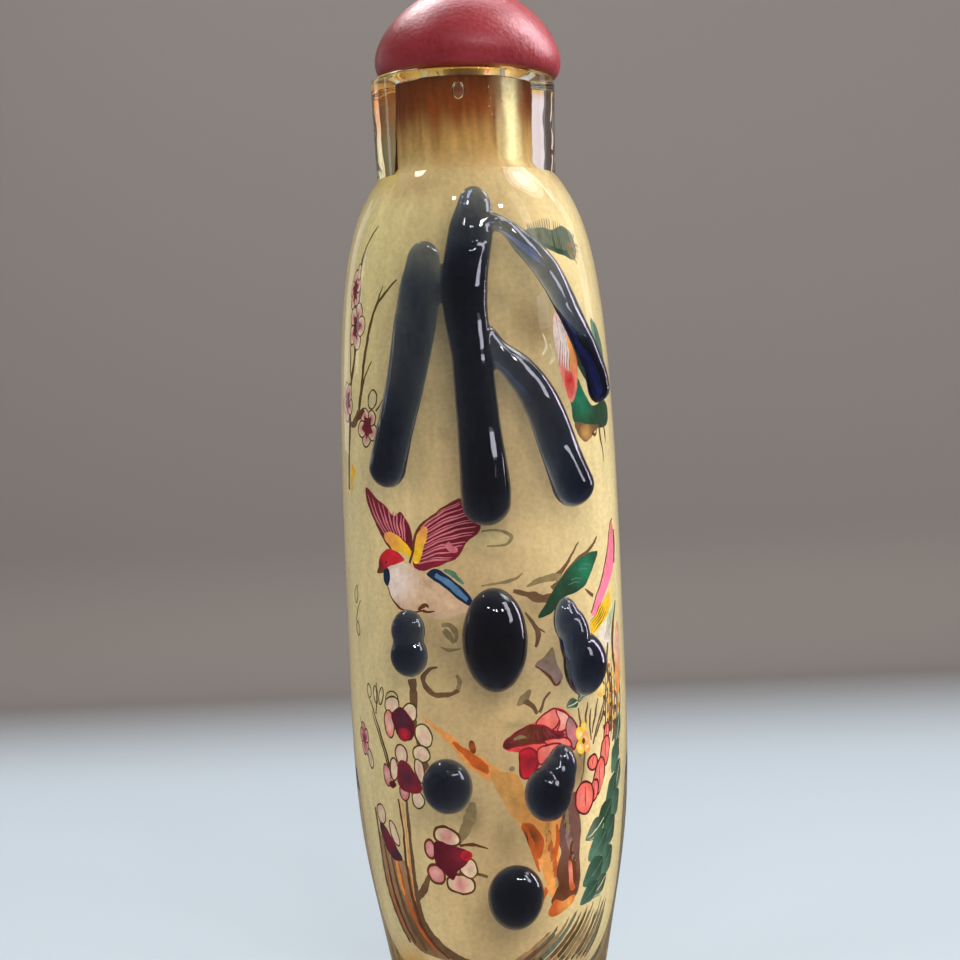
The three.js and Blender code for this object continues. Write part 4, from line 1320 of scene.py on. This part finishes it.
def greenLeaves():
    groups = [
        ((15.2, 27), (14.2, 23.6), 1.5, "slate"), ((15, 24.6), (13.6, 21.6), 1.7, "sage"),
        ((15.8, 22.8), (14.4, 19.6), 1.9, "slate"), ((14.8, 21.6), (12.6, 18.8), 1.7, "fern"),
        ((16, 20), (13, 17.6), 2.0, "sage"), ((13.8, 19.4), (11, 16.8), 1.9, "pine"),
        ((12.4, 18), (9.4, 16.2), 1.5, "slate"), ((15, 17.8), (11.9, 15.4), 2.2, "fern"),
        ((13, 16.8), (9.9, 14.4), 2.1, "sage"), ((14.8, 15.2), (11.6, 12.8), 2.2, "sage"),
        ((12.6, 14.4), (9.4, 12.2), 2.1, "fern"), ((13.8, 12.8), (10.8, 11), 1.6, "slate"),
        ((12, 12.4), (9.2, 10.6), 1.5, "fern"), ((8, 28.6), (6.8, 28.1), 0.9, "slate"),
        ((9.4, 29.8), (8, 28.5), 1.0, "slate"),
    ]
    for base, tip, width, colour in groups:
        leaf(base, tip, width * 1.25, colour, "lime" if colour == "slate" else "slate", "pine")


def grass(start, spread, count, lean, rise):
    # long blades that sweep up and out of the floor's edge; they stand steeper towards the side
    for number in range(count):
        share = number / (count - 1)
        x = start + spread * share
        waver = 1.8 * noise.noise(Vector((x * 3.7, 1.5, 0)))
        reach = lean * (1 - 0.45 * share) + 0.5 * waver
        height = rise * (0.8 + 0.5 * share) + 0.8 * waver
        colour = ("bark", "smoke", "clay", "twig", "slate", "bark", "smoke")[number % 7]
        base = 5.6 + 0.25 * (number % 3)
        stroke([(x, base), (x + reach * 0.45, base + height * 0.36), (x + reach * 0.8, base + height * 0.7),
                (x + reach, base + height)], (0.45, 0.5, 0.35, 0.08), colour)


def backPicture():
    # a plainer picture behind: a plum branch, two bamboo leaves and grass
    middle = math.pi * wallGirth
    for points, widths in (
        ([(-6.5, 8), (-5.4, 14), (-6, 20), (-4.2, 26), (-2.2, 31), (0.6, 36), (2, 42)],
         (1.6, 1.3, 0.9, 0.7, 0.3)),
        ([(-4.6, 25), (-6.8, 30), (-6.4, 36), (-8, 42), (-7.4, 48)], (0.7, 0.5, 0.4, 0.15)),
        ([(-2.2, 31), (1.6, 33), (5, 37), (6.2, 43)], (0.6, 0.4, 0.3, 0.12)),
        ([(0.6, 36), (-1.4, 41), (-0.8, 47)], (0.4, 0.3, 0.1)),
    ):
        stroke([(middle + x, y) for x, y in points], widths, "bark")
        stroke([(middle + x + 0.15, y) for x, y in points], [width * 0.35 for width in widths], "umber")
    for x, y, size, lean in ((-6.4, 33.6, 2, 10), (1.9, 41.6, 2.2, -20), (5.2, 37.4, 1.9, 30),
                             (-5.2, 21.4, 2, 0)):
        blossom((middle + x, y), size, 1, lean)
    for x, y, lean in ((-7.6, 47.6, 10), (6.3, 43.6, -12), (-0.8, 47.6, 0), (-3.4, 29, 60)):
        bud((middle + x, y), 1.1, lean)
    for x, y, reach, drop in ((6, 20, 5, -3), (7, 17, 4, -4.6), (4.6, 22.6, 4.4, 1.6)):
        leaf((middle + x - 2, y), (middle + x - 2 + reach, y + drop), 1.3, "sage", "lime", "pine")
    stroke([(middle + 3.4, 7), (middle + 4.2, 14), (middle + 4.6, 22)], (0.5, 0.4, 0.2), "sage")
    grass(middle - 9, 17, 15, 1.2, 4)


def groundAt(place, height):
    # a mottled yellow ground: browner at the middle of each face and paler at the sides, which is painted
    # shade and light, greener towards the left shoulder, and in the bore a honey and resin stain with a
    # painted highlight towards +X
    angle = place.x / wallGirth
    # painted shade: the ground is browner where it faces the front and the back, and paler at the sides
    face = abs(math.cos(angle)) ** 1.5
    green = min(1, max(0, (height - 46) / 22)) * (0.5 - 0.5 * math.sin(angle))
    tone = Vector(colours["straw"]).lerp(Vector(colours["tan"]), 0.15 + 0.75 * face)
    tone = tone.lerp(Vector(colours["moss"]), 0.75 * green)
    side = Vector((math.sin(angle), math.cos(angle), 0)) * wallGirth
    cloud = noise.noise(Vector((side.x * 0.16, side.y * 0.16, height * 0.10))) + 0.4 * noise.noise(
        Vector((side.x * 0.5, side.y * 0.5, height * 0.22)))
    tone = tone * (1 + 0.14 * cloud)
    waver = noise.noise(Vector((side.x * 0.4, side.y * 0.4, height * 0.12)))
    tone = tone.lerp(Vector(colours["honey"]), 0.9 * smooth(height + waver, 73.8, 78.8))
    tone = tone.lerp(Vector(colours["resin"]), smooth(height + 1.6 * waver, 77.8, 81.8))
    streak = noise.noise(Vector((side.x * 1.3, side.y * 1.3, height * 0.3)))
    tone = tone * (1 + 0.45 * streak * smooth(height, 76, 79))
    # painted highlight: a pale golden glow on the film in the bore towards +X, where the light from the
    # right shows through the neck
    paintedHighlight = math.exp(-((place.x - 8.9 + 0.9 * streak) / 2.1) ** 2)
    tone = tone.lerp(Vector(colours["paintedHighlight"]), 0.95 * paintedHighlight * smooth(height, 75.5, 77.5))
    for middle, wide, tall, colour, strength in washes:
        far = ((place.x - middle.x) / wide) ** 2 + ((height - middle.y) / tall) ** 2
        if far < 6:
            tone = tone.lerp(colour, strength * math.exp(-far))
    return tone


# The painting inside: the film of paint itself
def innerPath():
    # the inner wall from the middle of the floor to the mouth, with the distance along it
    line = [innerPoints[0]]
    for point in innerPoints[1:] + [Vector((glass["boreRadius"], 0, glass["neckTop"] - 0.6))]:
        if (point - line[-1]).length > 1e-6:
            line.append(point)
    along = [0.0]
    for here, there in zip(line, line[1:]):
        along.append(along[-1] + (there - here).length)
    return line, along


pathPoints, pathLengths = innerPath()
pathHeights = [point.z for point in pathPoints]


def wallAt(along):
    number = min(max(bisect.bisect_left(pathLengths, along), 1), len(pathLengths) - 1)
    low, high = pathLengths[number - 1], pathLengths[number]
    return pathPoints[number - 1].lerp(pathPoints[number], (along - low) / (high - low))


def alongAt(height):
    number = min(max(bisect.bisect_left(pathHeights, height), 1), len(pathHeights) - 1)
    low, high = pathHeights[number - 1], pathHeights[number]
    share = (height - low) / max(1e-9, high - low)
    return pathLengths[number - 1] + (pathLengths[number] - pathLengths[number - 1]) * share


def onWall(across, along, lift):
    angle = across / wallGirth
    place = wallAt(along)
    rise = (wallAt(min(along + 0.2, pathLengths[-1])) - wallAt(max(along - 0.2, 0))).normalized()
    radius = place.x + rise.z * lift
    height = place.z - rise.x * lift
    return Vector((radius * math.sin(angle), -halfDepth(radius, height) * math.cos(angle), height))


def wallNormal(across, along, lift):
    # taken over a stretch, so that the fold where the bore starts looks soft
    step = 0.05
    low, high = max(along - 0.7, 0.1), min(along + 0.7, pathLengths[-1])
    around = onWall(across + step, along, lift) - onWall(across - step, along, lift)
    upward = onWall(across, high, lift) - onWall(across, low, lift)
    return around.cross(upward).normalized()


def drawPicture():
    # painted reflection: an orange wash low on the left, where the trunk's colours show back through the
    # thick foot
    wash((-13.5, 4.6), 4.5, 1.6, "orange", 0.8)
    wash((12, 5), 4, 1.6, "clay", 0.5)
    # painted shade: grey washes in the middle, behind the blue vine, where its glass shades the ground
    wash((0.4, 56), 3.4, 9, "ash", 0.45)
    wash((2.5, 40), 4, 6, "ash", 0.25)
    wash((-7, 74), 4.5, 1.1, "clay", 0.5)
    plumTwigs()
    smallLoops()
    greyBranch()
    upperLeaves()
    dryStrokes()
    rockAndTrunk()
    grass(1.2, 11.5, 34, 4.2, 3.6)
    peony()
    sideFlowers()
    greenLeaves()
    perchedBird()
    flyingBird()
    plumTree()
    backPicture()


def skinOf(columnPlaces, step, outlines):
    # triangles over the unrolled wall, with every outline's edge in them
    low, top = paint["lowest"], pathLengths[-1]
    rows = round((top - low) / step)
    spots = []
    for row in range(rows + 1):
        along = low + (top - low) * row / rows
        spots += [Vector((across, along)) for across in columnPlaces]
    faces = []
    for outline in outlines:
        faces.append(list(range(len(spots), len(spots) + len(outline))))
        spots += [Vector((place.x, alongAt(place.y))) for place in outline]
    places, _, triangles, _, _, origins = delaunay_2d_cdt(spots, [], faces, 0, 1e-5)
    return places, triangles, origins


def edgeOf(places, along):
    onEdge = [number for number, place in enumerate(places) if abs(place.y - along) < 1e-6]
    return sorted(onEdge, key=lambda number: places[number].x)


def makePainting():
    drawPicture()
    start = paint["seamAt"]
    count = round(wallRound / paint["gridStep"])
    columns = [start + wallRound * number / count for number in range(count + 1)]
    places, triangles, origins = skinOf(columns, paint["gridStep"], [outline for outline, *_ in marks])
    behind, backFaces, _ = skinOf(columns, paint["insideStep"], [])
    shift = len(places)
    corners = [onWall(p.x, p.y, paint["skin"]) for p in places]
    corners += [onWall(p.x, p.y, paint["inside"]) for p in behind]
    normals = [wallNormal(p.x, p.y, paint["skin"]) for p in places]
    normals += [-wallNormal(p.x, p.y, paint["inside"]) for p in behind]
    faces = [list(face) for face in triangles] + [[n + shift for n in reversed(face)] for face in backFaces]
    for along, way in ((paint["lowest"], 1), (pathLengths[-1], -1)):
        front, back = edgeOf(places, along), edgeOf(behind, along)
        for a, b, c, d in zip(front, front[1:], back, back[1:]):
            faces.append([b, a, c + shift, d + shift][::way])
    ground = [groundAt(p, wallAt(p.y).z) for p in places] + [Vector(colours["straw"])] * len(behind)
    mesh = bpy.data.meshes.new("painting")
    mesh.from_pydata(corners, [], faces)
    tint = mesh.color_attributes.new("pigment", "FLOAT_COLOR", "CORNER")
    lean = mesh.attributes.new("wallNormal", "FLOAT_VECTOR", "POINT")
    for number, normal in enumerate(normals):
        lean.data[number].vector = normal
    for number, polygon in enumerate(mesh.polygons):
        owner = max(origins[number]) if number < len(triangles) and origins[number] else None
        for corner in polygon.loop_indices:
            vertex = mesh.loops[corner].vertex_index
            tone = ground[vertex]
            if owner is not None:
                _, colour, heart, middle, reach = marks[owner]
                place = Vector((places[vertex].x, wallAt(places[vertex].y).z))
                tone = Vector(heart).lerp(Vector(colour), smooth((place - middle).length, 0, reach))
                tone *= 1 + 0.3 * noise.noise(Vector((place.x * 1.9, place.y * 1.1, 7)))
            tint.data[corner].color = (*tone, 1)
    piece = bpy.data.objects.new("painting", mesh)
    bpy.context.collection.objects.link(piece)
    clearSelection()
    piece.select_set(True)
    bpy.context.view_layer.objects.active = piece
    toMetres(piece)
    bpy.ops.object.mode_set(mode="EDIT")
    bpy.ops.mesh.select_all(action="SELECT")
    bpy.ops.mesh.remove_doubles(threshold=1e-7)
    bpy.ops.mesh.normals_make_consistent(inside=False)
    bpy.ops.object.mode_set(mode="OBJECT")
    reshape(piece, lambda place: slantLip(place / mm) * mm)
    finish(piece, paintMaterial(), "paint", None, 180)
    leans = [Vector(entry.vector) for entry in piece.data.attributes["wallNormal"].data]
    piece.data.normals_split_custom_set_from_vertices(leans)
    print("painting:", len(marks), "marks,", len(piece.data.polygons), "faces")


def paintMaterial():
    # matt paint, a little streaky and grainy
    material = plainMaterial("paint", (0.7, 0.6, 0.4), 0.8)
    shader = material.node_tree.nodes["Principled BSDF"]
    shader.inputs["Specular IOR Level"].default_value = 0.12
    tint = node(material, "ShaderNodeAttribute", attribute_name="pigment")
    place = node(material, "ShaderNodeTexCoord").outputs["Object"]
    both = node(material, "ShaderNodeMath", operation="ADD")
    link(material, grainOf(material, place, (900, 900, 260), 4, 0.6), both.inputs[0])
    link(material, grainOf(material, place, 2600, 2, 0.5), both.inputs[1])
    scaled = node(material, "ShaderNodeVectorMath", operation="SCALE")
    link(material, tint.outputs["Color"], scaled.inputs[0])
    link(material, mapped(material, both.outputs[0], 0.7, 1.3, 0.86, 1.1), scaled.inputs["Scale"])
    link(material, scaled.outputs[0], shader.inputs["Base Color"])
    return material


setCamera()
setRoom()
makeBottle()
makeStopper()
makeCork()
makeBubbles()
makePainting()
makeBlueGlass()
